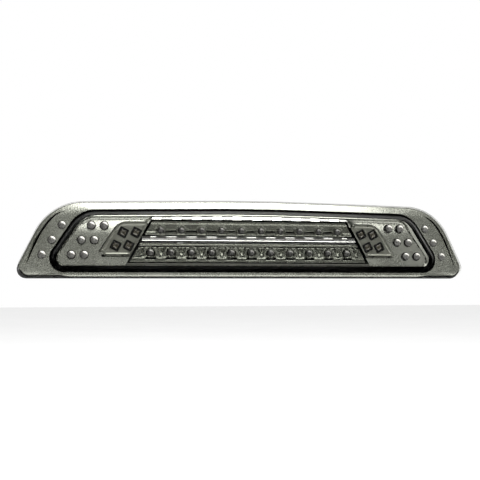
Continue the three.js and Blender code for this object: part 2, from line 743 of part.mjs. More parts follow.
// Raised plate over its window, with four square holes.
function tile(sign) {
  const rearY = PLATE_FRONT_Y - FIT;
  let body = prism(tileOutline(sign, 0), rearY, TILE_FRONT_Y);
  for (const led of squareLeds) {
    body = body.subtract(squareBlock(SQUARE_LED_SIDE + 2 * FIT, rearY + 1, FACE_Y, led, sign));
  }
  return bend(body);
}

// A round LED: a flange behind the plate, a body through it and a domed front.
function roundLed(tipY, flangeFrontY) {
  const radius = LED_DIAMETER / 2;
  const flange = radius + LED_FLANGE_WIDTH;
  const points = [
    [0, flangeFrontY + LED_FLANGE_THICKNESS],
    [flange, flangeFrontY + LED_FLANGE_THICKNESS],
    [flange, flangeFrontY],
    [radius, flangeFrontY],
  ];
  const domeHeight = Math.min(radius, flangeFrontY - tipY) - 0.6;
  for (const degrees of [0, 30, 60]) {
    const angle = THREE.MathUtils.degToRad(degrees);
    points.push([radius * Math.cos(angle), tipY + domeHeight * (1 - Math.sin(angle))]);
  }
  points.push([0, tipY]);
  return turned(points, 12);
}

// A small board behind the places of some LEDs, as a slanted strip round them.
function slantedBoard(leds, reach, frontY, sign) {
  const zs = leds.map((led) => led.z);
  const lowZ = Math.min(...zs);
  const highZ = Math.max(...zs);
  const low = leds.filter((led) => led.z === lowZ).map((led) => led.x);
  const high = leds.filter((led) => led.z === highZ).map((led) => led.x);
  const slope = (Math.max(...high) - Math.max(...low)) / (highZ - lowZ);
  const across = reach * Math.hypot(1, slope);
  const footShift = -slope * reach;
  const corners = [
    { x: Math.min(...low) + footShift - across, z: lowZ - reach, radius: BOARD_RADIUS },
    { x: Math.max(...low) + footShift + across, z: lowZ - reach, radius: BOARD_RADIUS },
    { x: Math.max(...high) - footShift + across, z: highZ + reach, radius: BOARD_RADIUS },
    { x: Math.min(...high) - footShift - across, z: highZ + reach, radius: BOARD_RADIUS },
  ];
  const outline =
    sign > 0 ? corners : corners.map((corner) => ({ ...corner, x: -corner.x })).reverse();
  const board = prism(outline, frontY + BOARD_THICKNESS, frontY);
  return lean(board, sign * Math.min(...high), sign * Math.max(...low));
}

const cargoFlangeY = PLATE_FRONT_Y + PLATE_WALL + LED_SEAT;
const wingFlangeY = BEZEL_FRONT_Y + BEZEL_WALL + LED_SEAT;
const cargoBoardY = cargoFlangeY + LED_FLANGE_THICKNESS + LED_SEAT;
const wingBoardY = wingFlangeY + LED_FLANGE_THICKNESS + LED_SEAT;
const tileBoardY = SQUARE_LED_FRONT_Y + SQUARE_LED_DEPTH + LED_SEAT;
const boardReach = LED_DIAMETER / 2 + BOARD_MARGIN;

for (const [name, sign] of SIDES) {
  place(`${name}_tile`, tile(sign), "smokedChrome");
  cargoLeds.forEach((led, i) => {
    const geometry = roundLed(CARGO_LED_TIP_Y, cargoFlangeY);
    place(`${name}_cargo_led_${i + 1}`, geometry, "led", sign * led.x, sweepAt(led.x), led.z);
  });
  wingLeds.forEach((led, i) => {
    const geometry = roundLed(WING_LED_TIP_Y, wingFlangeY);
    place(`${name}_wing_led_${i + 1}`, geometry, "led", sign * led.x, sweepAt(led.x), led.z);
  });
  squareLeds.forEach((led, i) => {
    const rearY = SQUARE_LED_FRONT_Y + SQUARE_LED_DEPTH;
    const block = squareBlock(SQUARE_LED_SIDE, SQUARE_LED_FRONT_Y, rearY, led, sign);
    place(`${name}_square_led_${i + 1}`, geometryOf(block), "ledFrame", 0, sweepAt(led.x));
  });
  place(`${name}_cargo_board`, slantedBoard(cargoLeds, boardReach, cargoBoardY, sign), "board");
  place(`${name}_wing_board`, slantedBoard(wingLeds, boardReach, wingBoardY, sign), "board");
  const tileReach = SQUARE_LED_SIDE / 2 + BOARD_MARGIN;
  place(`${name}_tile_board`, slantedBoard(squareLeds, tileReach, tileBoardY, sign), "board");
}

// ---------- centre panel ----------

// A trapezoid strip of the panel between two heights.
function panelStrip(lowZ, highZ) {
  return mirrored([
    { x: panelEdgeX(lowZ) - FIT, z: lowZ, radius: 0.5 },
    { x: panelEdgeX(highZ) - FIT, z: highZ, radius: 0.5 },
  ]);
}

// One row of reflector cups: a plate with a round hole at each LED.
function cupRow(lowZ, highZ, leds) {
  let body = prism(panelStrip(lowZ, highZ), CUP_FRONT_Y, CUP_FRONT_Y + PLATE_WALL);
  for (const led of leds) {
    body = body.subtract(roundBar(CUP_DIAMETER, CUP_FRONT_Y + 3, FACE_Y, led.x, led.z, 12));
  }
  return bend(body);
}
const upperCupFootZ = panelTopZ - UPPER_CUP_HEIGHT;
const lowerCupTopZ = panelBottomZ + LOWER_CUP_HEIGHT;
place("upper_brake_reflector", cupRow(upperCupFootZ, panelTopZ, upperRow), "smokedChrome");
place("lower_brake_reflector", cupRow(panelBottomZ, lowerCupTopZ, lowerRow), "smokedChrome");

// Bright bar between the two rows.
const barOutline = panelStrip(lowerCupTopZ + FIT, upperCupFootZ - FIT);
const barSolid = prism(barOutline, BAR_FRONT_Y, CUP_FRONT_Y + PLATE_WALL);
place("divider_bar", bend(barSolid), "chrome");

// A flat board with its row of brake LEDs. The lamp's front curves away from the board,
// so each LED stands as tall as its cup needs.
function brakeBoard(leds) {
  const reach = leds[leds.length - 1].x + BRAKE_LED_DIAMETER;
  const half = BRAKE_BOARD_HEIGHT / 2;
  const outline = mirrored([
    { x: reach, z: leds[0].z - half, radius: 1 },
    { x: reach, z: leds[0].z + half, radius: 1 },
  ]);
  const frontY = CUP_FRONT_Y + PLATE_WALL + sweepAt(reach) + LED_SEAT;
  let body = prism(outline, frontY + BOARD_THICKNESS, frontY);
  const radius = BRAKE_LED_DIAMETER / 2;
  for (const led of leds) {
    const tipY = CUP_FRONT_Y + sweepAt(led.x);
    const points = [
      [0, frontY + 0.5],
      [radius, frontY + 0.5],
      [radius, tipY + radius],
      [radius * 0.7, tipY + 0.7],
      [0, tipY],
    ];
    body = body.add(solidOf(turned(points, 10).translate(led.x, 0, led.z)));
  }
  return geometryOf(body);
}
place("upper_brake_board", brakeBoard(upperRow), "board");
place("lower_brake_board", brakeBoard(lowerRow), "board");

export default root;
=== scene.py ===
from math import radians

import bmesh
import bpy
import numpy as np
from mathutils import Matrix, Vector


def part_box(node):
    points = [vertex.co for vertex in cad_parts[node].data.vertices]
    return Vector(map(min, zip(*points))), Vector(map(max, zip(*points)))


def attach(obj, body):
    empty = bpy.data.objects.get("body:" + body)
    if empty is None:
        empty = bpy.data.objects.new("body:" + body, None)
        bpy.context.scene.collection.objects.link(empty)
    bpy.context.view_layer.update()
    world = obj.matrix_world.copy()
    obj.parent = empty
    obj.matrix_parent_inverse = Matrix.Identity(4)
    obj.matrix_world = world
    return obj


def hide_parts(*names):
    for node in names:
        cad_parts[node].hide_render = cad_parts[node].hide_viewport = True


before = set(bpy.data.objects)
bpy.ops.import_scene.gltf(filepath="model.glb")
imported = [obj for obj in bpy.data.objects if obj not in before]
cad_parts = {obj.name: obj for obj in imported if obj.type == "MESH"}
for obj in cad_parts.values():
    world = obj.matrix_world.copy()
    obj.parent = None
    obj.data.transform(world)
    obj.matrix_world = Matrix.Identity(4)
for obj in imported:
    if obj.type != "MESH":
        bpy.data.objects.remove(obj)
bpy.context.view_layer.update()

# ---------------------------------------------------------------------------
# Rear housing. One black moulding of talc-filled polypropylene: a tray with a
# tub for the driver, posts for the frame, and bosses for the screws. Its edges
# are broken by the mould, and its skin has a fine spark-eroded grain.
# ---------------------------------------------------------------------------


class Value:
    """A shader socket in a sum: each operator adds the Math node that works it out."""

    def __init__(self, finish, socket):
        self.finish = finish
        self.socket = socket

    def math(self, operation, first, second):
        return self.finish.node("ShaderNodeMath", {"operation": operation}, {0: first, 1: second})

    def __add__(self, other):
        return self.math("ADD", self, other)

    def __sub__(self, other):
        return self.math("SUBTRACT", self, other)

    def __rsub__(self, other):
        return self.math("SUBTRACT", other, self)

    def __mul__(self, other):
        return self.math("MULTIPLY", self, other)

    __radd__ = __add__
    __rmul__ = __mul__


class Finish:
    """A material: constants sit on its shader's own sockets, and node() builds what varies over a surface."""

    def __init__(self, name, **constants):
        self.material = bpy.data.materials.new(name)
        self.material.use_nodes = True
        self.tree = self.material.node_tree
        self.tree.nodes.clear()
        self.shader = self.tree.nodes.new("ShaderNodeBsdfPrincipled")
        self.output = self.tree.nodes.new("ShaderNodeOutputMaterial")
        self.tree.links.new(self.shader.outputs[0], self.output.inputs["Surface"])
        for socket, value in constants.items():
            self.shader.inputs[socket.replace("_", " ")].default_value = value
        self.place = self.node("ShaderNodeTexCoord", {}, {}, "Object")

    def node(self, kind, settings, inputs, output=0):
        made = self.tree.nodes.new(kind)
        for name, value in settings.items():
            setattr(made, name, value)
        for name, value in inputs.items():
            self.join(made.inputs[name], value)
        return Value(self, made.outputs[output])

    def join(self, socket, value):
        if isinstance(value, Value):
            self.tree.links.new(value.socket, socket)
        else:
            socket.default_value = value

    def show(self, **varying):
        for socket, value in varying.items():
            self.join(self.shader.inputs[socket.replace("_", " ")], value)

    def noise(self, scale, detail=2.0, rough=0.5):
        """Noise of that many features a metre."""
        settings = {"Vector": self.place, "Scale": scale, "Detail": detail, "Roughness": rough}
        return self.node("ShaderNodeTexNoise", {}, settings)

    def ramp(self, value, low, high, to_low=0.0, to_high=1.0):
        """to_low up to low, to_high from high on, and a smooth step between."""
        ends = {"From Min": low, "From Max": high, "To Min": to_low, "To Max": to_high}
        smooth = {"interpolation_type": "SMOOTHSTEP"}
        return self.node("ShaderNodeMapRange", smooth, {"Value": value, **ends})

    def blend(self, share, first, second):
        """A colour between first, where share is 0, and second, where it is 1."""
        return self.node("ShaderNodeMix", {"data_type": "RGBA"}, {0: share, 6: first, 7: second}, 2)

    def bumps(self, height, millimetres, strength=1.0):
        values = {"Height": height, "Distance": millimetres * 0.001, "Strength": strength}
        self.join(self.shader.inputs["Normal"], self.node("ShaderNodeBump", {}, values))

    def mark(self, name):
        """A mesh attribute, 0 where a piece has none."""
        return self.node("ShaderNodeAttribute", {"attribute_name": name}, {}, "Fac")


def grey(level, warmth=0.0):
    return (level * (1 + warmth), level, level * (1 - warmth), 1.0)


housing_finish = Finish("black_housing", Specular_IOR_Level=0.4)
grain = housing_finish.noise(1500, 3)
mottle = housing_finish.noise(60, 4)
rubs = housing_finish.ramp(housing_finish.noise(220, 6, 0.7), 0.62, 0.75)
housing_finish.show(
    Base_Color=housing_finish.blend(mottle * 0.7 + rubs * 0.3, grey(0.009), grey(0.028, 0.03)),
    Roughness=0.42 + 0.18 * mottle + 0.1 * grain,
)
housing_finish.bumps(grain, 0.08, 0.5)


def bevelled(name, node, finish, width, at_angle=35):
    """A CAD solid with its edges rounded: a merged copy of the triangles, with a bevel of
    width millimetres."""
    body = bmesh.new()
    body.from_mesh(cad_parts[node].data)
    bmesh.ops.remove_doubles(body, verts=body.verts, dist=2e-6)
    bmesh.ops.dissolve_limit(body, angle_limit=radians(1), verts=body.verts, edges=body.edges)
    bmesh.ops.recalc_face_normals(body, faces=body.faces)
    mesh = bpy.data.meshes.new(name)
    body.to_mesh(mesh)
    body.free()
    if "custom_normal" in mesh.attributes:
        mesh.attributes.remove(mesh.attributes["custom_normal"])
    mesh.materials.clear()
    mesh.materials.append(finish.material)
    mesh.polygons.foreach_set("material_index", np.zeros(len(mesh.polygons), np.int32))
    mesh.shade_smooth()
    made = bpy.data.objects.new(name, mesh)
    bpy.context.collection.objects.link(made)
    bevel = made.modifiers.new("edge", "BEVEL")
    bevel.width = width * 0.001
    bevel.segments = 2
    bevel.limit_method = "ANGLE"
    bevel.angle_limit = radians(at_angle)
    bevel.harden_normals = True
    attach(made, "root")
    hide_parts(node)


bevelled("housing_shell", "rear_housing", housing_finish, 0.45)

# ---------------------------------------------------------------------------
# Mounting gasket. A ring of closed-cell foam, die cut and stuck to the tray,
# that takes up the curve of the cab. Its cut faces show the open cells.
# ---------------------------------------------------------------------------

foam_finish = Finish("foam", Roughness=0.95, Specular_IOR_Level=0.15)
cells = foam_finish.node("ShaderNodeTexVoronoi", {}, {"Vector": foam_finish.place, "Scale": 1100.0})
foam_finish.show(
    Base_Color=foam_finish.blend(foam_finish.ramp(cells, 0.1, 0.6), grey(0.012), grey(0.045)),
)
foam_finish.bumps(cells + foam_finish.noise(500), 0.25, 0.8)
bevelled("gasket_foam", "mounting_gasket", foam_finish, 0.5)

# ---------------------------------------------------------------------------
# Studs and flange nuts. Square-shouldered M5 studs held by their heads inside
# the tray, with rolled threads, and hexagon nuts that clamp the cab's steel.
# All are steel with a clear zinc plating.
# ---------------------------------------------------------------------------

zinc_finish = Finish("zinc_steel", Metallic=1.0)
spangle = zinc_finish.noise(900, 3)
bloom = zinc_finish.ramp(zinc_finish.noise(160, 5), 0.45, 0.75)
zinc_finish.show(
    Base_Color=zinc_finish.blend(bloom, (0.55, 0.56, 0.58, 1.0), (0.42, 0.40, 0.34, 1.0)),
    Roughness=0.24 + 0.2 * bloom + 0.1 * spangle,
)
zinc_finish.bumps(spangle, 0.03, 0.4)


def node_middle(node):
    """Middle and half size of a CAD node's box, in millimetres."""
    low, high = (np.array(corner) * 1000 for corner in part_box(node))
    return (low + high) / 2, (high - low) / 2


def quads(rows, columns, wrap):
    """Faces of a grid of points numbered row by row; wrap joins the last column to the first."""
    row = np.arange(rows - 1)[:, None] * columns
    column = np.arange(columns if wrap else columns - 1)[None, :]
    after = (column + 1) % columns
    corners = (row + column, row + after, row + columns + after, row + columns + column)
    return np.stack([np.broadcast_to(c, (rows - 1, column.size)) for c in corners], -1).reshape(-1, 4)


def patch(grid, wrap=True, facing=None, finish=0, painted_light_and_shade=None):
    """One surface of a piece: a rows x columns x 3 grid in millimetres. Its faces are turned to face a
    direction or, for a closed shape, outwards: the sum of a . (b x c) over its corners is then above 0."""
    rows, columns = grid.shape[:2]
    points = grid.reshape(-1, 3)
    faces = quads(rows, columns, wrap)
    a, b, c, d = (points[faces[:, k]] for k in range(4))
    if facing is None:
        middle = points.mean(0)
        sides = np.einsum("ij,ij", a - middle, np.cross(b - a, d - a) + np.cross(d - c, b - c))
    else:
        sides = (np.cross(c - a, d - b) @ np.array(facing)).sum()
    if sides < 0:
        faces = faces[:, ::-1]
    # Each point's mark of painted light and shade, which every finish reads in its own way.
    marks = np.zeros(len(points)) if painted_light_and_shade is None else np.broadcast_to(painted_light_and_shade, (rows, columns)).reshape(-1)
    return points, faces, finish, marks


def piece(name, patches, finishes, nodes, sharp=32, wall=0.0):
    """One mesh of its patches, merged where they meet, that stands for its CAD nodes. A wall gives
    open surfaces that thickness, behind the faces."""
    first = np.cumsum([0] + [len(points) for points, *_ in patches])
    points = np.concatenate([part[0] for part in patches]) * 0.001
    faces = np.concatenate([part[1] + start for part, start in zip(patches, first)])
    mesh = bpy.data.meshes.new(name)
    mesh.from_pydata(points, [], faces)
    for finish in finishes:
        mesh.materials.append(finish.material)
    indices = np.concatenate([np.full(len(part[1]), part[2], np.int32) for part in patches])
    mesh.polygons.foreach_set("material_index", indices)
    # The mark of painted light and shade goes on the mesh as a point attribute.
    marks = mesh.attributes.new("painted_light_and_shade", "FLOAT", "POINT")
    marks.data.foreach_set("value", np.concatenate([part[3] for part in patches]).astype(np.float32))
    body = bmesh.new()
    body.from_mesh(mesh)
    bmesh.ops.remove_doubles(body, verts=body.verts, dist=2e-6)
    bmesh.ops.dissolve_degenerate(body, dist=1e-7, edges=body.edges)
    body.to_mesh(mesh)
    body.free()
    mesh.shade_smooth()
    mesh.set_sharp_from_angle(angle=radians(sharp))
    made = bpy.data.objects.new(name, mesh)
    bpy.context.collection.objects.link(made)
    if wall:
        solid = made.modifiers.new("wall", "SOLIDIFY")
        solid.thickness = wall * 0.001
        solid.offset = -1
    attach(made, "root")
    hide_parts(*nodes)


def turned(section, x, z, sides=48, corners=0, sharpness=0.0):
    """A section of (radius, y) turned about a line along Y. Where sharpness is 1 the radius at an angle t
    is cos(pi/n) / cos(t mod 2pi/n - pi/n) of it, which is a polygon of n corners."""
    section = np.array(section, float)
    angle = np.arange(sides) * 2 * np.pi / sides
    radius = np.broadcast_to(section[:, :1], (len(section), sides))
    if corners:
        half = np.pi / corners
        polygon = np.cos(half) / np.cos(angle % (2 * half) - half)
        share = np.broadcast_to(sharpness, (len(section),))[:, None]
        radius = radius * (1 - share + share * polygon)
    depth = np.broadcast_to(section[:, 1:2], radius.shape)
    return np.stack([x + radius * np.cos(angle), depth, z + radius * np.sin(angle)], -1)


def thread(radius, depth, pitch, start, end, x, z, sides=24):
    """A bar along Y whose radius falls by depth times (1 + cos(2 pi y / pitch - angle)) / 2, with
    its tip eased in."""
    along = np.arange(start, end, pitch / 6)
    angle = np.arange(sides) * 2 * np.pi / sides
    groove = 0.5 + 0.5 * np.cos(2 * np.pi * along[:, None] / pitch - angle)
    tip = np.clip((end - along[:, None]) / 1.2, 0, 1)
    r = (radius - depth * groove) * (0.8 + 0.2 * tip)
    r = np.concatenate([np.zeros((1, sides)), r, np.zeros((1, sides))])
    y = np.concatenate([[start], along, [end]])[:, None] + 0 * r
    return np.stack([x + r * np.cos(angle), y, z + r * np.sin(angle)], -1)


for corner in ("upper_left", "lower_left", "upper_right", "lower_right"):
    middle, half = node_middle(f"{corner}_stud")
    x, _, z = middle
    head_y, tip_y = middle[1] - half[1], middle[1] + half[1]
    head = [
        (0, head_y), (4.2, head_y), (5, head_y + 0.6), (5, head_y + 3), (2.4, head_y + 3), (0, head_y + 3.1),
    ]
    piece(
        f"{corner}_threaded_stud",
        [
            patch(turned(head, x, z, 48, 6, [0, 0.6, 1, 1, 0, 0])),
            patch(thread(2.5, 0.42, 0.8, head_y + 2.5, tip_y, x, z)),
        ],
        [zinc_finish],
        [f"{corner}_stud"],
    )
    middle, half = node_middle(f"{corner}_nut")
    seat, top = middle[1] - half[1], middle[1] + half[1]
    nut = [
        (2.75, seat), (5.6, seat), (6, seat + 0.3), (5.9, seat + 0.9), (5.1, seat + 1.3), (4.6, seat + 1.5),
        (4.6, top - 0.5), (4.1, top), (3.1, top), (2.75, top - 0.4), (2.75, seat),
    ]
    piece(
        f"{corner}_flange_nut",
        [patch(turned(nut, x, z, 48, 6, [0, 0, 0, 0, 0.4, 1, 1, 0.2, 0, 0, 0]))],
        [zinc_finish],
        [f"{corner}_nut"],
    )

# ---------------------------------------------------------------------------
# Wire grommet and breather vent. The grommet is a soft rubber ring snapped into
# the tub wall. The vent's cap is ribbed so that it can be pushed in by hand.
# ---------------------------------------------------------------------------

rubber_finish = Finish("soft_rubber", Specular_IOR_Level=0.3)
dust = rubber_finish.ramp(rubber_finish.noise(300, 5), 0.5, 0.8)
rubber_finish.show(
    Base_Color=rubber_finish.blend(dust, grey(0.014), grey(0.05, 0.05)),
    Roughness=0.62 + 0.25 * dust,
)
rubber_finish.bumps(rubber_finish.noise(1800), 0.06, 0.5)

middle, half = node_middle("wire_grommet")
rear, front = middle[1] + half[1], middle[1] - half[1]
lip = [
    (3.5, front), (9.2, front), (9.9, front + 0.5), (10, front + 1.9), (9.7, front + 2.2), (6.8, front + 2.4),
    (6.8, rear - 2.4), (9.7, rear - 2.2), (10, rear - 1.8), (9.7, rear - 0.6), (8.8, rear - 0.1), (6.4, rear),
    (4.3, rear), (3.5, rear - 0.7), (3.3, middle[1]), (3.5, front),
]
piece(
    "grommet_ring",
    [patch(turned(lip, middle[0], middle[2], 56))],
    [rubber_finish],
    ["wire_grommet"],
)

middle, half = node_middle("breather_vent")
rear, front = middle[1] + half[1], middle[1] - half[1]
cap = turned(
    [
        (0, front), (3.7, front), (3.7, rear - 3.5), (6.6, rear - 3.4), (7, rear - 3.1), (7, rear - 1.1),
        (6.6, rear - 0.3), (5.8, rear), (4.6, rear), (4.3, rear - 0.5), (3.4, rear - 0.5), (3.1, rear),
        (0, rear),
    ],
    middle[0],
    middle[2],
    120,
)
rib = 1 - 0.05 * (np.cos(np.arange(120) * np.pi / 5) > 0)
for row in (4, 5):
    cap[row, :, 0] = middle[0] + (cap[row, :, 0] - middle[0]) * rib
    cap[row, :, 2] = middle[2] + (cap[row, :, 2] - middle[2]) * rib
piece("vent_cap", [patch(cap)], [rubber_finish], ["breather_vent"])

# ---------------------------------------------------------------------------
# Circuit boards and their screws. White solder mask on glass fibre, with copper
# tracks that show through it, behind every group of LEDs and in the tub.
# ---------------------------------------------------------------------------

board_finish = Finish("circuit_board")
upright = {"Vector": board_finish.place, "Rotation": (radians(90), 0, 0)}
layout = {
    "Vector": board_finish.node("ShaderNodeMapping", {}, upright),
    "Scale": 260.0,
    "Mortar Size": 0.06,
    "Mortar Smooth": 0.2,
}
tracks = board_finish.node("ShaderNodeTexBrick", {"offset": 0.5, "squash": 1.0}, layout, "Fac")
weave = board_finish.noise(700, 3)
board_finish.show(
    Base_Color=board_finish.blend(tracks, (0.62, 0.64, 0.60, 1.0), (0.42, 0.46, 0.38, 1.0)),
    Roughness=0.35 + 0.2 * weave,
)
board_finish.bumps(tracks * -1.0 + weave * 0.2, 0.05, 0.6)


def dress(node, finish):
    """Gives a CAD node that keeps its shape a new finish."""
    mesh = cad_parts[node].data
    for index in range(len(mesh.materials)):
        mesh.materials[index] = finish.material


for side in ("left", "right"):
    dress(f"{side}_board_screw", zinc_finish)
    for board in ("cargo_board", "wing_board", "tile_board"):
        dress(f"{side}_{board}", board_finish)
dress("driver_board", board_finish)

# ---------------------------------------------------------------------------
# Round LEDs. Clear epoxy domes with a turned-out flange behind the plate, over a
# small bright cup with its chip. They are drawn opaque, with painted light in their colour:
# a painted dark rim, painted shade that lightens to the upper right, a painted highlight
# crescent there, and faint rings of grey for the cup inside the dome.
# ---------------------------------------------------------------------------

led_finish = Finish("clear_led", Specular_IOR_Level=0.1, Coat_Roughness=0.02, Coat_IOR=1.6)
# Painted light on the domes: a high mark gives a light grey, metallic painted highlight, and 0 gives a near
# black painted rim.
cup_and_painted_light = led_finish.mark("painted_light_and_shade")
haze = led_finish.noise(520, 4)
led_finish.show(
    Base_Color=led_finish.blend(cup_and_painted_light * 0.9 + haze * 0.06 * cup_and_painted_light, grey(0.004, 0.04), grey(0.84, 0.03)),
    Roughness=0.08 + 0.05 * haze,
    Metallic=0.15 * led_finish.ramp(cup_and_painted_light, 0.4, 0.75),
    Coat_Weight=led_finish.ramp(cup_and_painted_light, 0.0, 0.02) * (0.4 + 0.2 * haze),
)
led_finish.bumps(haze, 0.02, 0.3)


def step(value, low, high):
    """0 up to low, 1 from high on, and 3 t^2 - 2 t^3 between."""
    t = np.clip((value - low) / (high - low), 0, 1)
    return t * t * (3 - 2 * t)


def band(value, middle, half, soft=0.35):
    """1 within half of a middle, and 0 a little way outside."""
    return 1 - step(np.abs(value - middle), half - soft / 2, half + soft / 2)


def dome(x, z, radius, seat, tip, flange=0.0):
    """A round LED: a flange at its seat, a barrel, and a front that is the quarter ellipse
    radius * cos(a), tip + height * (1 - sin(a)), with a from 0 to 90 degrees."""
    height = min(radius * 0.92, abs(seat - tip) * 0.8)
    a = np.radians(np.linspace(0, 90, 12))
    front = np.stack([radius * np.cos(a), tip + height * (1 - np.sin(a))], 1)
    rear = [(0, seat + 1), (radius + flange, seat + 1), (radius + flange, seat), (radius, seat - 0.1)]
    return turned(np.concatenate([rear, front]), x, z, 32)


def led_patch(x, z, radius, seat, tip, flange=0.0, finish=0, painted_light_level=1.0):
    """A round LED and the light and shade painted on it: a painted dark rim, a mid grey with painted shade
    that is
    0.04 (u + v) lighter to the upper right, a painted highlight crescent there, and faint grey rings inside
    the dome;
    u and v are the place across the LED over its radius."""
    grid = dome(x, z, radius, seat, tip, flange)
    u, v = (grid[..., 0] - x) / radius, (grid[..., 2] - z) / radius
    out = np.hypot(u, v)
    # A painted highlight crescent to the upper right, and painted shade that lightens towards it and is near
    # black at the rim.
    crescent = band(out, 0.6, 0.15, 0.14) * step(0.6 * u + v, 0.36, 0.56)
    shade = 0.075 + 0.04 * (u + v) + 0.02 * np.cos(9 * out)
    shade = shade * (1 - step(out, 0.74, 0.81))
    # The last factor scales all the painted light, and is lower for the dimmer brake LEDs.
    return patch(grid, finish=finish, painted_light_and_shade=np.clip(shade + 0.8 * crescent, 0, 1) * painted_light_level)


for side in ("left", "right"):
    for group, count in (("cargo", 6), ("wing", 3)):
        for number in range(1, count + 1):
            node = f"{side}_{group}_led_{number}"
            middle, half = node_middle(node)
            seat, tip = middle[1] + half[1] - 1, middle[1] - half[1]
            piece(
                f"{side}_{group}_dome_{number}",
                [led_patch(middle[0], middle[2], 4.4, seat, tip, 0.45)],
                [led_finish],
                [node],
                sharp=50,
            )

# ---------------------------------------------------------------------------
# Reflectors of the brake lamp. Two darkly metallised mouldings, one for each row
# of LEDs: a round cup at each LED, ribs and ledges between the cups, and a fold
# along the top that hides the edge of the window.
# ---------------------------------------------------------------------------
# Their colour holds painted shade in the slots, pockets and creases and at the panel's ends, and painted
# highlights on the bead, ledges, rib strokes and the edges of the cups.

pitch = 19.56
half_length, fall, lift = 228.7, 14.7, 2.3
rows = {"upper": (10, 8.7, 3.3, 17.9), "lower": (11, -12.7, -22.5, -3.5)}

dark_chrome = Finish("dark_chrome", Metallic=1.0)
veil = dark_chrome.noise(90, 4)
skin = dark_chrome.noise(1600, 2)
# The mark gives painted shade above 0, towards near black, and a painted highlight below 0, towards light
# grey.
painted_light_and_shade = dark_chrome.mark("painted_light_and_shade")
lit = dark_chrome.ramp(0.0 - painted_light_and_shade, 0.0, 1.0)
plating = dark_chrome.blend(veil, (0.088, 0.091, 0.08, 1.0), (0.15, 0.153, 0.134, 1.0))
dark_chrome.show(
    Base_Color=dark_chrome.blend(painted_light_and_shade, dark_chrome.blend(lit, plating, grey(0.62)), grey(0.002)),
    Roughness=0.2 + 0.12 * veil,
)
dark_chrome.bumps(skin, 0.015, 0.5)


def on_front(x, y, z):
    """Points of the lamp's front, which falls back from its middle by fall s^2 - lift s^4, where s is x
    over the half length. What is behind y = -12 stays flat."""
    x, y, z = np.broadcast_arrays(x, y, z)
    s = x / half_length
    return np.stack([x, y + np.where(y < -12, fall * s**2 - lift * s**4, 0.0), z], -1)


def panel_end(z):
    """Half length of the brake panel at a height z: it leans from 118.8 at its foot to 96.8 at its top."""
    return 118.8 - 22.0 * (z + 22.5) / 40.4


def from_led(x, count):
    """Distance along X from the nearest LED of a row."""
    middle = (count - 1) / 2
    nearest = np.clip(np.round(x / pitch + middle), 0, count - 1) - middle
    return x - nearest * pitch


def upper_shape(x, z, count, row_z):
    """Depth and painted light of the upper moulding: a bead under the top, cups 1 deep, one at each LED,
    whose edges are eased from 4.0 to 5.2 out and are arches that are open below, and a slot between cups. The
    slot and the foot get painted shade, and the bead and the arches get painted highlights."""
    u = from_led(x, count)
    arch = np.where(z > row_z, np.hypot(u, (z - row_z) * 0.95), np.abs(u))
    y = -25.0 - 0.4 * band(z, 15.1, 0.35)
    y = y + 1.0 * (1 - step(arch, 4.0, 5.2)) * step(z, 4.2, 5.0)
    y = y - 0.5 * band(z, 5.9, 1.2) * step(arch, 5.0, 5.6)
    # Painted shade in the slot between cups and along the foot; painted highlights on the bead and the
    # arches.
    slot = band(z, 7.9, 0.75, 0.4) * step(arch, 4.7, 5.1) * (1 - step(np.abs(x), 84, 86))
    foot = 1 - step(z, 3.5, 4.3)
    bright = 0.45 * band(z, 15.1, 0.4) + 0.1 * band(arch, 4.9, 0.3)
    return y + 1.0 * slot + 0.8 * foot, np.clip(slot + 0.6 * foot - bright * (1 - slot), -1, 1)


def lower_shape(x, z, count, row_z):
    """The lower moulding: oval cups 1.3 deep, a V-shaped rib between each two of them, whose sides are
    3.6 apart from its middle at the top, a ledge beneath the rib and a pocket beneath each LED. The pockets
    and the creases get painted shade, and the ledges, strokes along the ribs and the edges of the cups get
    painted highlights."""
    u = from_led(x, count)
    v = pitch / 2 - np.abs(u)
    oval = np.hypot(u / 4.4, (z - row_z) / 4.9)
    y = -25.0 - 0.15 * band(z, -5.3, 0.9, 0.8)
    y = y + 1.3 * (1 - step(oval, 0.8, 1.12))
    spread = np.clip((z + 17.0) / 8.5, 0, 1)
    rib = np.abs(np.abs(v) - 3.6 * spread)
    inside = band(z, -12.4, 4.2, 0.6) * step(oval, 1.05, 1.2)
    y = y - 1.6 * inside * np.clip(1 - rib / 1.3, 0, 1) - 1.1 * inside * np.clip(1 - v / 0.7, 0, 1)
    between = step(np.abs(u), 4.6, 5.1)
    ledge = band(z, -17.9, 0.75, 0.5) * between
    # Painted shade in the pockets under the LEDs and in the creases; painted highlights on the ledges, the
    # rib strokes and the cups' edges.
    pocket = band(z, -18.3, 1.15, 0.5) * (1 - between)
    crease = band(z, -7.0, 0.4, 0.4) + 0.7 * (1 - step(z, -22.2, -21.8)) + 0.6 * band(z, -3.7, 0.45)
    tilt = 0.42 * ledge * (z + 17.9)
    y = y - 1.2 * ledge + tilt + 1.2 * pocket + 0.8 * crease
    strokes = inside * np.clip(1.2 - rib / 0.75, 0, 1)
    bright = 0.15 * ledge + 0.55 * strokes + 0.15 * band(oval, 1.05, 0.06, 0.06)
    return y, np.clip(pocket + 0.9 * crease - bright, -1, 1)


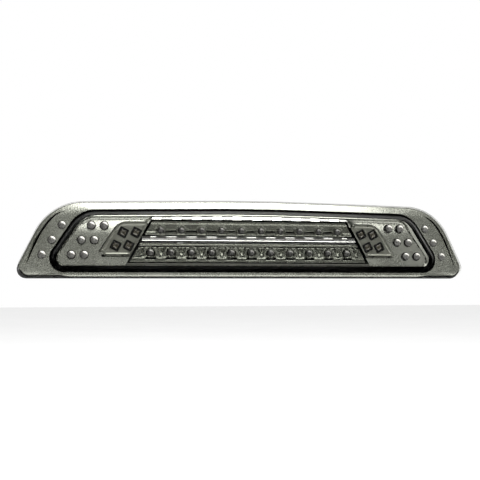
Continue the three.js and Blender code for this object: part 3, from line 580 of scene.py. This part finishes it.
for row, (count, row_z, foot_z, top_z) in rows.items():
    z = np.arange(foot_z, top_z + 0.2, 0.36)[:, None]
    share = np.linspace(-1, 1, 560)[None, :]
    x = share * (panel_end(z) - 0.3)
    y, dark = (upper_shape if row == "upper" else lower_shape)(x, z, count, row_z)
    # Painted shade at the panel's ends.
    dark = np.maximum(dark, step(np.abs(x), panel_end(z) - 1.2, panel_end(z) - 0.6))
    piece(
        f"{row}_cup_row",
        [patch(on_front(x, y, z), wrap=False, facing=(0, -1, 0), painted_light_and_shade=dark)],
        [dark_chrome],
        [f"{row}_brake_reflector"],
        sharp=70,
        wall=0.7,
    )
    middle, half = node_middle(f"{row}_brake_board")
    rear = middle[1] + half[1] + 0.6
    angle = np.radians(np.arange(0, 360, 5))
    corner = np.sign(np.stack([np.cos(angle), np.sin(angle)], -1)) * [half[0] - 1, 5.0]
    edge = corner + np.stack([np.cos(angle), np.sin(angle)], -1)
    board = [(0.0, rear), (1.0, rear), (1.0, rear - 1.2), (0.0, rear - 1.2)]
    grid = np.stack([np.stack([edge[:, 0] * k, 0 * angle + y, row_z + edge[:, 1] * k], -1) for k, y in board])
    lamps = []
    for number in range(count):
        x = (number - (count - 1) / 2) * pitch
        tip = -25.9 + fall * (x / half_length) ** 2
        # The brake LEDs carry the same painted light on their domes, dimmer.
        lamps.append(led_patch(x, row_z, 3.8, rear - 1.2, tip, finish=1, painted_light_level=0.22))
    piece(
        f"{row}_brake_lamps",
        [patch(grid)] + lamps,
        [board_finish, led_finish],
        [f"{row}_brake_board"],
    )

# ---------------------------------------------------------------------------
# Divider bar. A brightly plated strip snapped between the two reflectors: a
# round bead in front, and a shelf over it with a raised pad between the LEDs.
# The shelf, the top of the bead and its lower half get painted shade, less on the pads, leaving a thin bright
# line along the bead.
# ---------------------------------------------------------------------------

bright_finish = Finish("bright_chrome", Metallic=1.0)
smear = bright_finish.noise(130, 5)
painted_light_and_shade = bright_finish.mark("painted_light_and_shade")
# The mark gives painted shade, towards near black.
bright_finish.show(
    Base_Color=bright_finish.blend(painted_light_and_shade, bright_finish.blend(smear, grey(0.80), grey(0.66, 0.02)), grey(0.02)),
    Roughness=0.08 + 0.12 * smear,
)
bright_finish.bumps(bright_finish.noise(700), 0.02, 0.3)

bar_section = np.array(
    [
        (3.0, -24.0), (3.0, -25.1), (2.6, -25.15), (2.4, -25.15), (1.3, -25.15), (1.1, -25.15),
        (0.4, -25.2), (0.0, -25.5), (-0.3, -26.2), (-0.6, -26.9), (-1.1, -27.2), (-1.5, -27.0),
        (-1.8, -26.4), (-2.2, -25.4), (-3.2, -25.2), (-3.2, -24.0),
    ]
)
end = panel_end(0.0) - 0.4
along = np.concatenate([[-end], np.linspace(-end, end, 421), [end]])[:, None]
z = np.broadcast_to(bar_section[:, 0], (len(along), len(bar_section)))
pad = step(np.abs(from_led(along, 10)), 4.6, 5.2) * band(z, 1.8, 0.9) * (np.abs(along) < end - 8)
y = bar_section[:, 1] - 0.3 * pad
closed = np.ones(len(along))
closed[[0, -1]] = 0.02
centre_y = -25.5
# Painted shade on the shelf and the bead's top, less on the pads, and near black on the bead's lower half and
# underside.
shelf_painted_shade = step(z, -0.75, -0.45) * (1 - 0.45 * pad - 0.25 * band(z, 1.8, 0.9))
dark = shelf_painted_shade + 0.97 * (1 - step(z, -1.5, -1.2))
bar = on_front(along + 0 * z, centre_y + (y - centre_y) * closed[:, None], z * closed[:, None])
piece(
    "divider_bead",
    [patch(bar, painted_light_and_shade=dark.clip(0, 1))],
    [bright_finish],
    ["divider_bar"],
    sharp=60,
)

# ---------------------------------------------------------------------------
# Reflector frame. The smoked-chrome moulding inside the black ring: a wall round
# the opening, a plate each side that carries the round LEDs, and a bright fold
# above the brake panel. Vacuum metallised, with a tinted lacquer over it.
# Its colour holds painted shade: the wall's back row and foot, a band on the right wall only, the window's
# edge, the right plate beside the panel's top, and the fold's ends and lower blocks.
# ---------------------------------------------------------------------------

smoked_finish = Finish("smoked_chrome", Metallic=1.0)
cloud = smoked_finish.noise(38, 5)
fine = smoked_finish.noise(520, 4, 0.6)
painted_light_and_shade = smoked_finish.mark("painted_light_and_shade")
tint = smoked_finish.blend(cloud * 0.75 + fine * 0.25, (0.215, 0.218, 0.198, 1.0), (0.33, 0.334, 0.306, 1.0))
# The mark gives painted shade: near black and rougher.
smoked_finish.show(
    Base_Color=smoked_finish.blend(painted_light_and_shade, tint, grey(0.003)),
    Roughness=0.17 + 0.12 * cloud + 0.08 * fine + 0.3 * painted_light_and_shade,
)
smoked_finish.bumps(fine + smoked_finish.noise(160, 2) * 0.5, 0.03, 0.3)


def arc(corner, radius, before, after, steps):
    """Points and outward normals where a corner is rounded between two edges with those outward normals:
    the centre is corner - radius * (n0 + n1) / (1 + n0 . n1), and the normal turns from n0 to n1."""
    first, last = np.arctan2(before[1], before[0]), np.arctan2(after[1], after[0])
    angle = np.linspace(first, last, steps)
    normal = np.stack([np.cos(angle), np.sin(angle)], -1)
    return corner - radius * (before + after) / (1 + before @ after) + radius * normal, normal


def outline(foot, shoulder, crown):
    """Outline of a lamp-shaped piece, from the middle of its bottom edge round by the right: points and
    outward normals. Foot and shoulder are (x, z, radius). Below, it has the same x places as above."""
    corners = [np.array(corner[:2], float) for corner in (foot, shoulder, crown)]
    slant, top = corners[1] - corners[0], corners[2] - corners[1]
    side = np.array([slant[1], -slant[0]]) / np.hypot(*slant)
    up = np.array([top[1], -top[0]]) / np.hypot(*top)
    down, level = np.array([0.0, -1.0]), np.array([0.0, 1.0])
    low_arc, low_normal = arc(corners[0], foot[2], down, side, 18)
    high_arc, high_normal = arc(corners[1], shoulder[2], side, up, 30)
    flank = np.linspace(low_arc[-1], high_arc[0], 44)[1:-1]
    edge = np.linspace(high_arc[-1], corners[2], 70)[1:]
    middle = np.stack([np.linspace(corners[2][0], 0, 10)[1:], np.full(9, corners[2][1])], -1)
    above = np.concatenate([high_arc, edge, middle])
    places = np.concatenate([above[::-1, 0], np.linspace(above[0, 0], low_arc[0, 0], 14)[1:-1]])
    below = np.stack([places, np.full(len(places), corners[0][1])], -1)
    points = np.concatenate([below, low_arc, flank, above])
    normals = np.concatenate(
        [
            np.tile(down, (len(below), 1)),
            low_normal,
            np.tile(side, (len(flank), 1)),
            high_normal,
            np.tile(up, (len(edge), 1)),
            np.tile(level, (len(middle), 1)),
        ]
    )
    flip = np.array([-1.0, 1.0])
    points = np.concatenate([points, points[-2:0:-1] * flip])
    return points, np.concatenate([normals, normals[-2:0:-1] * flip]), above[0, 0]


opening, opening_normal, _ = outline((203.9, -31.6, 13.4), (165.4, 26.8, 28.7), (22.7, 28.9))


def carried(points, normals, insets, depths):
    """Rows of points: row k is the outline moved inwards by insets[k], at depths[k]."""
    insets = np.array(insets, float)
    if insets.ndim == 1:
        insets = insets[:, None]
    depths = np.array(depths, float)
    if depths.ndim == 1:
        depths = depths[:, None]
    place = points[None] - normals[None] * insets[..., None]
    return on_front(place[..., 0], depths, place[..., 1])


def plate_depth(x, z):
    """The plates lean back towards their top edge by 0.008 (z - 1)^2."""
    return -26.4 + 0.008 * np.clip(z - 1, 0, None) ** 2


flank_share = opening_normal[:, 0] ** 2
upward = np.clip(opening_normal[:, 1], 0, 1) ** 4
raised = np.clip((opening[:, 1] + 31.6) / 58.4, 0, 1)
wedge = flank_share * np.where(opening[:, 0] > 0, 0.9 + 4.2 * raised, 0.3 + 0.4 * raised)
shadow = flank_share * np.where(opening[:, 0] > 0, 1.2 + 0.4 * raised, 2.4 * step(raised, 0.45, 1.0))
side_insets = 6.25 + np.array([0, 0, 0.1, 0.25, 0.35, 0.75])[:, None]
side_insets = side_insets + np.array([0, 0, 0, 1, 1, 1])[:, None] * wedge
side_insets = side_insets + np.array([0, 0, 0, 0, 0, 1])[:, None] * shadow
top_insets = np.array([4.75, 4.75, 4.85, 5.55, 5.62, 5.9])[:, None]
wall_insets = side_insets * (1 - upward) + top_insets * upward
side_depths = np.array([-24.5, -27.4, -27.5, -26.2, -25.8, -25.8])[:, None]
low = np.clip(-opening_normal[:, 1], 0, 1) ** 2
side_depths = side_depths + np.array([0, 0, 0.1, -1.2, -1.2, -0.6])[:, None] * low
top_depths = np.array([-24.5, -29.6, -29.75, -30.05, -29.7, -28.0])[:, None]
wall_depths = side_depths * (1 - upward) + top_depths * upward
wall_rows = carried(opening, opening_normal, wall_insets, wall_depths)
foot_line = opening - opening_normal * wall_insets[-1][:, None]
# Painted shade on the wall: its back row, a band on the right wall only, and its foot, less at the bottom and
# the top.
wall_painted_shade = np.zeros(wall_insets.shape)
wall_painted_shade[2:4] = 0.45 * flank_share * (opening[:, 0] > 0)
wall_painted_shade[4:] = 1 - 0.35 * low - 0.75 * upward
wall_painted_shade[0] = 0.9
frame_patches = [patch(wall_rows, facing=(0, -1, 0), painted_light_and_shade=wall_painted_shade)]


def window_end(z):
    """Where the window for the brake panel ends: 1.5 outside the panel."""
    return panel_end(z) + 1.5


for sign in (1, -1):
    beyond = foot_line[:, 0] * sign > window_end(foot_line[:, 1])
    if sign > 0:
        around = foot_line[beyond]
        rim_y = wall_depths[-1][beyond]
    else:
        order = np.roll(np.arange(len(foot_line)), len(foot_line) // 2)
        order = order[beyond[order]]
        around = foot_line[order]
        rim_y = wall_depths[-1][order]
    leg_z = np.linspace(around[-1, 1], around[0, 1], 60)
    leg = np.stack([sign * window_end(leg_z), leg_z], -1)
    loop = np.concatenate([around, leg])
    loop_y = np.concatenate([rim_y, np.full(60, -23.0)])
    centre = np.array([sign * 150.0, -2.0])
    shares = np.concatenate([[0, 0.006], np.linspace(0.02, 1, 34)])[:, None]
    x = loop[:, 0] + (centre[0] - loop[:, 0]) * shares
    z = loop[:, 1] + (centre[1] - loop[:, 1]) * shares
    y = plate_depth(x, z) - 1.2 * (1 - step(shares, 0.0, 0.14)) * step(loop[:, 1], 15.0, 18.0)
    y[0] = loop_y
    # Painted shade along the window's edge, and beside the panel's top on the right plate only.
    dark = np.zeros(x.shape)
    dark[0, len(around):] = 1
    painted_shade_by_panel = step(z, 15.5, 17.0) * (1 - step(np.abs(x) - window_end(z), 5.0, 12.0))
    dark = np.maximum(dark, painted_shade_by_panel * (0.6 if sign > 0 else 0.0))
    frame_patches.append(patch(on_front(x, y, z), facing=(0, -1, 0), painted_light_and_shade=dark))

share = np.linspace(-1, 1, 481)
strip_z = np.interp(np.abs(share * window_end(23.0)), [0, 22.7, 165], [23.0, 23.0, 23.0 - 142.3 * 0.0147])
across = np.array([0, 0.05, 0.3, 0.6, 0.88, 0.96, 1.0])[:, None]
x = share * (window_end(23.0) + (window_end(18.7) - window_end(23.0)) * across)
z = strip_z + (18.7 - strip_z) * across
block = np.where(np.floor(x / 9.78) % 2 == 0, 1.0, 0.0)
depth = np.interp(across, [0, 0.05, 0.88, 0.96, 1.0], [-28.0, -28.2, -29.5, -29.2, -24.6])
y = depth - 0.35 * block * (across > 0.02) * (across < 0.97)
# Painted shade at the fold's ends and on the lower part of every other, recessed block.
ends = np.interp(across, [0, 0.02, 0.05, 0.93, 1], [0.9, 0.9, 0, 0, 1])
dark = np.maximum(ends, 0.8 * (1 - block) * step(across, 0.1, 0.5))
frame_patches.append(patch(on_front(x, y, z), wrap=False, facing=(0, -1, 0), finish=1, painted_light_and_shade=dark))
across = np.array([0, 0.1, 0.8, 1.0])[:, None]
x = share * (window_end(-24.9) + (window_end(-22.8) - window_end(-24.9)) * across)
z = -24.9 + 2.1 * across
y = np.interp(across, [0, 0.1, 0.8, 1.0], [-26.5, -26.5, -26.45, -24.6])
# Painted shade on the lower fold, darkest at its edges.
dark = np.interp(across, [0, 0.1, 0.2, 0.8, 1], [0.9, 0.9, 0.55, 0.55, 1])
frame_patches.append(patch(on_front(x, y, z), wrap=False, facing=(0, -1, 0), painted_light_and_shade=dark))
piece(
    "frame_plate",
    frame_patches,
    [smoked_finish, bright_finish],
    ["reflector_frame"],
    sharp=20,
    wall=0.8,
)

# ---------------------------------------------------------------------------
# Tiles. A raised plate each side of the brake panel, pressed over its window and
# held by its square LEDs, with a rounded edge and two catches at its foot. The catches
# are painted as dark spots, and the tile's outer side and a line along its bottom edge get painted shade.
# ---------------------------------------------------------------------------


def rounded_loop(corners, steps=12):
    """Points and outward normals of a closed outline, counterclockwise, from (x, z, radius) corners."""
    places = np.array([corner[:2] for corner in corners], float)
    ahead = np.roll(places, -1, 0) - places
    ahead /= np.hypot(*ahead.T)[:, None]
    outward = np.stack([ahead[:, 1], -ahead[:, 0]], -1)
    rounds = [
        arc(places[k], corners[k][2], outward[k - 1], outward[k], steps) for k in range(len(corners))
    ]
    points, normals = [], []
    for k, (bend_points, bend_normals) in enumerate(rounds):
        following = rounds[(k + 1) % len(rounds)][0][0]
        points += [bend_points, np.linspace(bend_points[-1], following, 14)[1:-1]]
        normals += [bend_normals, np.tile(outward[k], (12, 1))]
    return np.concatenate(points), np.concatenate(normals)


tile_finish = Finish("smoked_tile", Metallic=1.0)
cloud = tile_finish.noise(46, 5)
fine = tile_finish.noise(620, 4, 0.6)
painted_light_and_shade = tile_finish.mark("painted_light_and_shade")
tint = tile_finish.blend(cloud * 0.6 + fine * 0.4, (0.12, 0.121, 0.107, 1.0), (0.205, 0.207, 0.183, 1.0))
# The mark gives painted shade, towards near black.
tile_finish.show(
    Base_Color=tile_finish.blend(painted_light_and_shade, tint, grey(0.003)),
    Roughness=0.2 + 0.12 * cloud + 0.08 * fine,
)
tile_finish.bumps(fine, 0.05, 0.35)

tile_foot, tile_top = -16.7, 16.7
for side, sign in (("left", -1), ("right", 1)):
    foot_x, top_x = panel_end(tile_foot) + 1.8, panel_end(tile_top) + 1.8
    corners = [
        (foot_x, tile_foot, 2.2), (foot_x + 32.6, tile_foot, 3.2),
        (top_x + 29.0, tile_top, 15.0), (top_x, tile_top, 2.2),
    ]
    if sign < 0:
        corners = [(-x, z, radius) for x, z, radius in reversed(corners)]
    points, normals = rounded_loop(corners)
    section = [
        (-0.35, -24.4), (-0.35, -26.5), (-0.05, -26.55), (0.0, -27.2), (0.25, -28.0), (0.7, -28.4),
        (1.0, -28.4), (1.1, -28.3), (1.9, -28.3), (2.0, -28.4),
    ]
    rows_out = carried(points, normals, [k for k, _ in section], [y for _, y in section])
    rim = points - normals * 2.0
    centre = rim.mean(0)
    share = np.linspace(0, 1, 22)[1:, None]
    x = rim[:, 0] + (centre[0] - rim[:, 0]) * share
    z = rim[:, 1] + (centre[1] - rim[:, 1]) * share
    face = on_front(x, -28.4 + 0.35 * band(z, 0.0, 15.2, 1.2) * (share > 0.06), z)
    grid = np.concatenate([rows_out, face])
    # Painted shade on the tile's outer side and along its bottom edge, and the two catches as painted dark
    # spots.
    tile_painted_shade = np.zeros(grid.shape[:2])
    tile_painted_shade[:3] = 1.0
    tile_painted_shade[7:9] = (normals[:, 1] < -0.9) * 0.75
    for catch_x in (sign * (foot_x + 7.0), sign * (foot_x + 24.5)):
        away = np.hypot(grid[..., 0] - catch_x, (grid[..., 2] + 16.0) * 1.2)
        tile_painted_shade = np.maximum(tile_painted_shade, (away < 1.5) * 1.0)
    piece(
        f"{side}_tile_plate",
        [patch(grid, facing=(0, -1, 0), painted_light_and_shade=tile_painted_shade)],
        [tile_finish],
        [f"{side}_tile"],
        wall=0.7,
    )

# ---------------------------------------------------------------------------
# Square LEDs. A dark frame turned in line with the slant, round a tinted window
# that is a shallow pyramid, so that its four facets meet in a cross.
# ---------------------------------------------------------------------------

frame_finish = Finish("square_led_frame", Specular_IOR_Level=0.08)
speck = frame_finish.noise(1300, 3)
frame_finish.show(
    Base_Color=frame_finish.blend(speck, grey(0.0005), grey(0.003)),
    Roughness=0.3 + 0.3 * speck,
)
frame_finish.bumps(speck, 0.03, 0.4)
window_finish = Finish("square_led_window", IOR=1.35, Coat_Roughness=0.05)
mesh_lines = window_finish.noise(650, 3, 0.6)
window_finish.show(
    Base_Color=window_finish.blend(mesh_lines, (0.004, 0.0035, 0.0025, 1.0), (0.045, 0.040, 0.029, 1.0)),
    Roughness=0.12 + 0.15 * mesh_lines,
    Metallic=0.1 + 0.2 * mesh_lines,
    Coat_Weight=0.1 + 0.1 * mesh_lines,
)
window_finish.bumps(mesh_lines, 0.05, 0.4)


def square_rows(x, z, turn, halves, depths, steps=48):
    """Square rings with rounded corners: at an angle t the half width is multiplied by
    (|cos t|^10 + |sin t|^10)^(-1/10), and the whole is turned about Y."""
    t = np.arange(steps) * 2 * np.pi / steps + np.pi / 4
    reach = (np.abs(np.cos(t)) ** 10 + np.abs(np.sin(t)) ** 10) ** -0.1
    u, v = reach * np.cos(t), reach * np.sin(t)
    c, s = np.cos(turn), np.sin(turn)
    halves = np.array(halves, float)[:, None]
    y = np.array(depths, float)[:, None] + 0 * halves * u
    return np.stack([x + halves * (u * c - v * s), y, z + halves * (u * s + v * c)], -1)


for side, sign in (("left", -1), ("right", 1)):
    for number in range(1, 5):
        node = f"{side}_square_led_{number}"
        middle, half = node_middle(node)
        front, rear = middle[1] - half[1], middle[1] + half[1]
        turn = sign * np.pi * 0.15
        shell = square_rows(
            middle[0], middle[2], turn, [0, 4.5, 4.5, 4.3, 2.8, 2.6, 2.5],
            [rear, rear, front + 0.3, front, front, front + 0.5, front + 1.0],
        )
        pane = square_rows(
            middle[0], middle[2], turn, [2.6, 2.5, 2.1, 0.0],
            [front + 1.2, front + 0.55, front + 0.4, front + 1.05],
        )
        piece(
            f"{side}_square_lamp_{number}",
            [patch(shell, facing=(0, -1, 0)), patch(pane, facing=(0, -1, 0), finish=1)],
            [frame_finish, window_finish],
            [node],
            sharp=25,
        )

# ---------------------------------------------------------------------------
# Trim ring. A raised ring of black ABS round the opening, polished in the mould,
# with a fine bead along it. It snaps into the bezel from behind.
# Its colour has painted glints: along the bead, stronger on the right, and on the top's inner slope,
# brightest near the middle.
# ---------------------------------------------------------------------------

black_finish = Finish("gloss_black", IOR=1.30, Specular_IOR_Level=0.03)
wiped = black_finish.noise(70, 5, 0.6)
polish = black_finish.blend(wiped, grey(0.0), grey(0.0003))
# The mark gives painted glints, towards grey.
black_finish.show(
    Base_Color=black_finish.blend(black_finish.mark("painted_light_and_shade"), polish, grey(0.13)),
    Roughness=0.05 + 0.07 * wiped,
)
black_finish.bumps(black_finish.noise(240, 2), 0.02, 0.2)

ring_insets = np.array([0, 0, 0.15, 0.5, 1.1, 1.9, 2.25, 2.55, 2.85, 3.2, 4.2, 4.7, 4.9, 4.9])
ring_depths = np.array(
    [-23.6, -30.0, -30.7, -31.1, -31.2, -31.2, -31.35, -31.5, -31.35, -31.2, -31.2, -30.9, -29.9, -23.6]
)
lean = np.clip(ring_insets - 1.9, 0, None)[:, None] * 0.34 * np.clip(opening_normal[:, 1], 0, 1) ** 2
lean[-1] = 0
ring_width = 1 + 0.27 * (1 - upward)
ring_places = np.append(ring_insets, 0.0)[:, None]
ring_places = ring_places * ring_width - (0.85 - 0.13 * ring_places) * upward
ring_depths = np.vstack([ring_depths[:, None] + lean, np.full((1, len(opening)), -23.6)])
ring_rows = carried(opening, opening_normal, ring_places, ring_depths)
# Painted glints on the bead, stronger on the right wall than the left, and on the top's inner slope,
# brightest near the middle.
bead = np.array([0, 0, 0, 0, 0, 0.3, 1, 1, 0.9, 0, 0, 0, 0, 0, 0])[:, None]
slope = np.array([0, 0, 0, 0, 0, 0, 0.3, 0.5, 0.75, 0.8, 0.75, 0.3, 0, 0, 0])[:, None]
right = np.where(opening[:, 0] > 0, 1.0, 0.28) * flank_share * step(raised, 0.1, 0.6)
middle_painted_glint = 0.45 + 0.4 * (1 - step(np.abs(opening[:, 0]), 60, 150))
ring_painted_glints = np.clip(bead * right * 0.9 + slope * upward * middle_painted_glint, 0, 1)
piece("black_ring", [patch(ring_rows, painted_light_and_shade=ring_painted_glints)], [black_finish], ["trim_ring"], sharp=60)

# ---------------------------------------------------------------------------
# Wing bezel. The outer smoked-chrome moulding: a skirt down to the tray, a rolled
# rim, a face that falls away from the black ring, and a crescent slot in each
# wing. Metallised and lacquered like the frame.
# Its colour holds painted shade: the skirt black, a dark lip on the rolled rim, darker underneath and widest
# at the lower corners, and the slot's bottom painted black.
# ---------------------------------------------------------------------------

body, body_normal, body_reach = outline((228.0, -36.8, 10.6), (192.55, 35.0, 51.0), (22.7, 37.5))
over = np.abs(body_normal[:, 1]) ** 6
inner_edge = body - body_normal * 2.9
reach_out = 0.25 + 0.85 * upward
open_edge = opening + opening_normal * reach_out[:, None]
width = np.hypot(*(inner_edge - open_edge).T)
rise = np.abs(((open_edge - inner_edge) * body_normal).sum(-1))
tilt = np.where(body_normal[:, 1] > 0, 0.56, 0.08)
crest = -29.4 + tilt * over * np.minimum(rise, 4)
ease = np.linspace(0, 1, 8)
skirt_inset = 0.95
roll_insets = skirt_inset + 1.95 * ease
left_over = 1 - ease[:, None]
roll_depths = crest[None] + 1.3 * (0.3 * left_over**2 + np.where(tilt > 0.5, 0.3, 0.06) * over * left_over)
skirt = carried(body, body_normal, [skirt_inset, skirt_inset], [-10.9, -24.0])
skirt[1, :, 1] = carried(body, body_normal, [skirt_inset], roll_depths[:1] + 0.4)[0, :, 1]
roll = carried(body, body_normal, roll_insets, roll_depths)


def slot_curve(t):
    """Middle of the crescent slot: (1 - t)^2 A + 2 t (1 - t) B + t^2 C."""
    t = np.asarray(t)[:, None]
    start, bend, end = np.array([(178.6, 26.4), (197.3, 23.2), (213.6, -24.0)])
    return (1 - t) ** 2 * start + 2 * t * (1 - t) * bend + t**2 * end


t = np.linspace(0, 1, 400)
curve = slot_curve(t)
across = (open_edge - inner_edge) / width[:, None]
offset = curve[None] - np.stack([np.abs(inner_edge[:, 0]), inner_edge[:, 1]], -1)[:, None]
ahead = np.stack([across[:, 0] * np.sign(inner_edge[:, 0]), across[:, 1]], -1)[:, None]
aside = np.abs(offset[..., 0] * ahead[..., 1] - offset[..., 1] * ahead[..., 0])
nearest = aside.argmin(1)
found = aside.min(1) < 0.3
slot_place = (offset * ahead).sum(-1)[np.arange(len(body)), nearest] / width
slot_half = np.where(found, 1.5 * np.sin(np.pi * t[nearest]) ** 0.5, 0) / width
slot_place = np.where(found & (slot_place > 0.02) & (slot_place < 0.9), slot_place, 0.3)
slot_half = np.where(slot_place == 0.3, 0, slot_half)
outer = np.linspace(0, 1, 8)[1:, None] * (slot_place - slot_half)
groove = slot_place + slot_half * np.array([-0.97, -0.85, -0.4, 0.4, 0.85, 0.97])[:, None]
inner = slot_place + slot_half + (1 - slot_place - slot_half) * np.linspace(0, 1, 16)[:, None]
share = np.concatenate([outer, groove, inner])
sunk = np.concatenate([np.zeros(7), [0.3, 1.2, 1.4, 1.4, 1.2, 0.3], np.zeros(16)])[:, None] * (slot_half > 0)
# The slot's bottom gets painted shade, black.
bottom = np.concatenate([np.zeros(7), np.ones(6), np.zeros(16)])[:, None] * (slot_half > 0)
x = inner_edge[:, 0] + (open_edge[:, 0] - inner_edge[:, 0]) * share
z = inner_edge[:, 1] + (open_edge[:, 1] - inner_edge[:, 1]) * share
face = on_front(x, crest + (-29.2 - crest) * share + sunk, z)
tucked = open_edge - opening_normal * 0.1
lip = on_front(tucked[:, 0], -24.4, tucked[:, 1])[None]
bezel_grid = np.concatenate([skirt, roll[1:], face, lip])
# Painted shade: the skirt black, and a dark lip on the outer part of the rolled rim, darker underneath and
# widest at the lower corners.
underside = step(-body_normal[:, 1], 0.15, 0.5)
corner = underside * step(np.abs(body[:, 0]), 172, 184)
line_end = 0.2 + 0.05 * underside + 0.65 * corner
rim_dark = (0.75 + 0.25 * underside) * (1 - step(ease[1:, None], line_end - 0.15, line_end + 0.05))
rim_painted_shade = np.concatenate([np.ones((2, len(body))), rim_dark])
bezel_painted_shade = np.concatenate([rim_painted_shade, bottom, np.zeros((1, len(body)))])
piece(
    "bezel_plate",
    [patch(bezel_grid, facing=(0, -1, 0), painted_light_and_shade=bezel_painted_shade)],
    [smoked_finish],
    ["wing_bezel"],
    sharp=40,
    wall=0.8,
)

# ---------------------------------------------------------------------------
# Lens and its seal. One clear cover of lightly smoked polycarbonate over the
# whole front, hard coated, and glued to the tray by a bead of black sealant.
# ---------------------------------------------------------------------------

seal_finish = Finish("sealant", Specular_IOR_Level=0.5)
ooze = seal_finish.noise(260, 4)
seal_finish.show(Base_Color=seal_finish.blend(ooze, grey(0.006), grey(0.02)), Roughness=0.35 + 0.3 * ooze)
seal_finish.bumps(ooze, 0.2, 0.6)
bevelled("sealant_bead", "lens_seal", seal_finish, 0.3)

lens_finish = Finish("smoked_lens", Metallic=1.0, Roughness=0.03)
swirl = lens_finish.noise(90, 6, 0.65)
lens_finish.show(
    Base_Color=lens_finish.blend(swirl, grey(0.93), grey(0.99)),
    Roughness=0.02 + 0.03 * swirl,
)
clear = lens_finish.node("ShaderNodeBsdfTransparent", {}, {"Color": (0.965, 0.967, 0.955, 1.0)})
glance = lens_finish.node("ShaderNodeLayerWeight", {}, {"Blend": 0.5}, "Facing")
steep = glance * glance * glance * glance * glance
# The mark turns the lens's reflection off on its underside, so no reflection shows there.
bare = lens_finish.mark("painted_light_and_shade")
mirror = Value(lens_finish, lens_finish.shader.outputs[0])
sheen = steep * (1 - steep) * 2.0 * (1 - bare) + lens_finish.ramp(swirl, 0.55, 0.9) * 0.002
mixed = lens_finish.node("ShaderNodeMixShader", {}, {0: sheen, 1: clear, 2: mirror})
lens_finish.join(lens_finish.output.inputs["Surface"], mixed)

angle = np.radians(np.linspace(0, 90, 12))
lens_insets = np.concatenate([[0, 0], 6 * (1 - np.cos(angle))])
lens_depths = np.concatenate([[-8.2, -29.2], -30 - 4 * np.sin(angle)])
lens_rows = carried(body, body_normal, lens_insets, lens_depths)
face_edge = body - body_normal * 6
spine_x = np.clip(body[:, 0], -body_reach, body_reach)
share = np.linspace(0, 1, 20)[1:, None]
x = face_edge[:, 0] + (spine_x - face_edge[:, 0]) * share
z = face_edge[:, 1] * (1 - share)
lens_grid = np.concatenate([lens_rows, on_front(x, -34.0, z)])
# The lens's reflection is taken away on its underside.
lens_reflection_off = np.zeros(lens_grid.shape[:2])
lens_reflection_off[: len(lens_insets)] = underside
piece(
    "lens_cover",
    [patch(lens_grid, facing=(0, -1, 0), painted_light_and_shade=lens_reflection_off)],
    [lens_finish],
    ["outer_lens"],
    sharp=60,
    wall=0.8,
)

# ---------------------------------------------------------------------------
# The studio: a pale floor well below the lamp, one wide soft box above and in
# front, a white room that is mid grey where chrome mirrors it, and a camera a
# little left and below.
# ---------------------------------------------------------------------------

floor_finish = Finish("studio_floor", Roughness=0.8, Specular_IOR_Level=0.2)
floor_finish.show(Base_Color=floor_finish.blend(floor_finish.noise(6, 4), grey(0.86), grey(0.9)))
floor_mesh = bpy.data.meshes.new("floor")
reach, level = 6.0, -0.25
corners = [(-reach, -reach, level), (reach, -reach, level), (reach, reach, level), (-reach, reach, level)]
floor_mesh.from_pydata(corners, [], [(0, 1, 2, 3)])
floor_mesh.materials.append(floor_finish.material)
floor = bpy.data.objects.new("floor", floor_mesh)
bpy.context.collection.objects.link(floor)


def soft_box(name, place, aim, size, power):
    """An area light turned to face a point."""
    light = bpy.data.lights.new(name, "AREA")
    light.shape = "RECTANGLE"
    light.size, light.size_y = size
    light.energy = power
    made = bpy.data.objects.new(name, light)
    bpy.context.collection.objects.link(made)
    made.location = place
    made.rotation_euler = (made.location - type(made.location)(aim)).to_track_quat("Z", "Y").to_euler()
    made.visible_camera = False


soft_box("key", (0.14, -0.9, 1.1), (0, 0, 0), (1.2, 1.7), 52)

world = bpy.data.worlds.new("studio")
bpy.context.scene.world = world
world.use_nodes = True
sky = world.node_tree
sky.nodes.clear()
seen = sky.nodes.new("ShaderNodeLightPath")
white = sky.nodes.new("ShaderNodeBackground")
white.inputs["Color"].default_value = (1, 1, 1, 1)
room = sky.nodes.new("ShaderNodeBackground")
room.inputs["Color"].default_value = (0.36, 0.365, 0.35, 1)
either = sky.nodes.new("ShaderNodeMixShader")
shown = sky.nodes.new("ShaderNodeOutputWorld")
sky.links.new(seen.outputs["Is Glossy Ray"], either.inputs[0])
sky.links.new(white.outputs[0], either.inputs[1])
sky.links.new(room.outputs[0], either.inputs[2])
sky.links.new(either.outputs[0], shown.inputs["Surface"])

azimuth, elevation, distance = radians(-10.38), radians(-2.82), 0.8
target = np.array([-0.01293, -0.034, -0.0005])
level_reach = np.cos(elevation)
back = np.array([np.sin(azimuth) * level_reach, -np.cos(azimuth) * level_reach, np.sin(elevation)])
camera_data = bpy.data.cameras.new("camera")
camera_data.lens = 62.31
camera_data.sensor_width = 36
camera_data.clip_start = 0.01
camera = bpy.data.objects.new("camera", camera_data)
bpy.context.collection.objects.link(camera)
camera.location = target + back * distance
camera.rotation_euler = (camera.location - type(camera.location)(target)).to_track_quat("Z", "Y").to_euler()
bpy.context.scene.camera = camera
bpy.context.scene.view_settings.view_transform = "Standard"
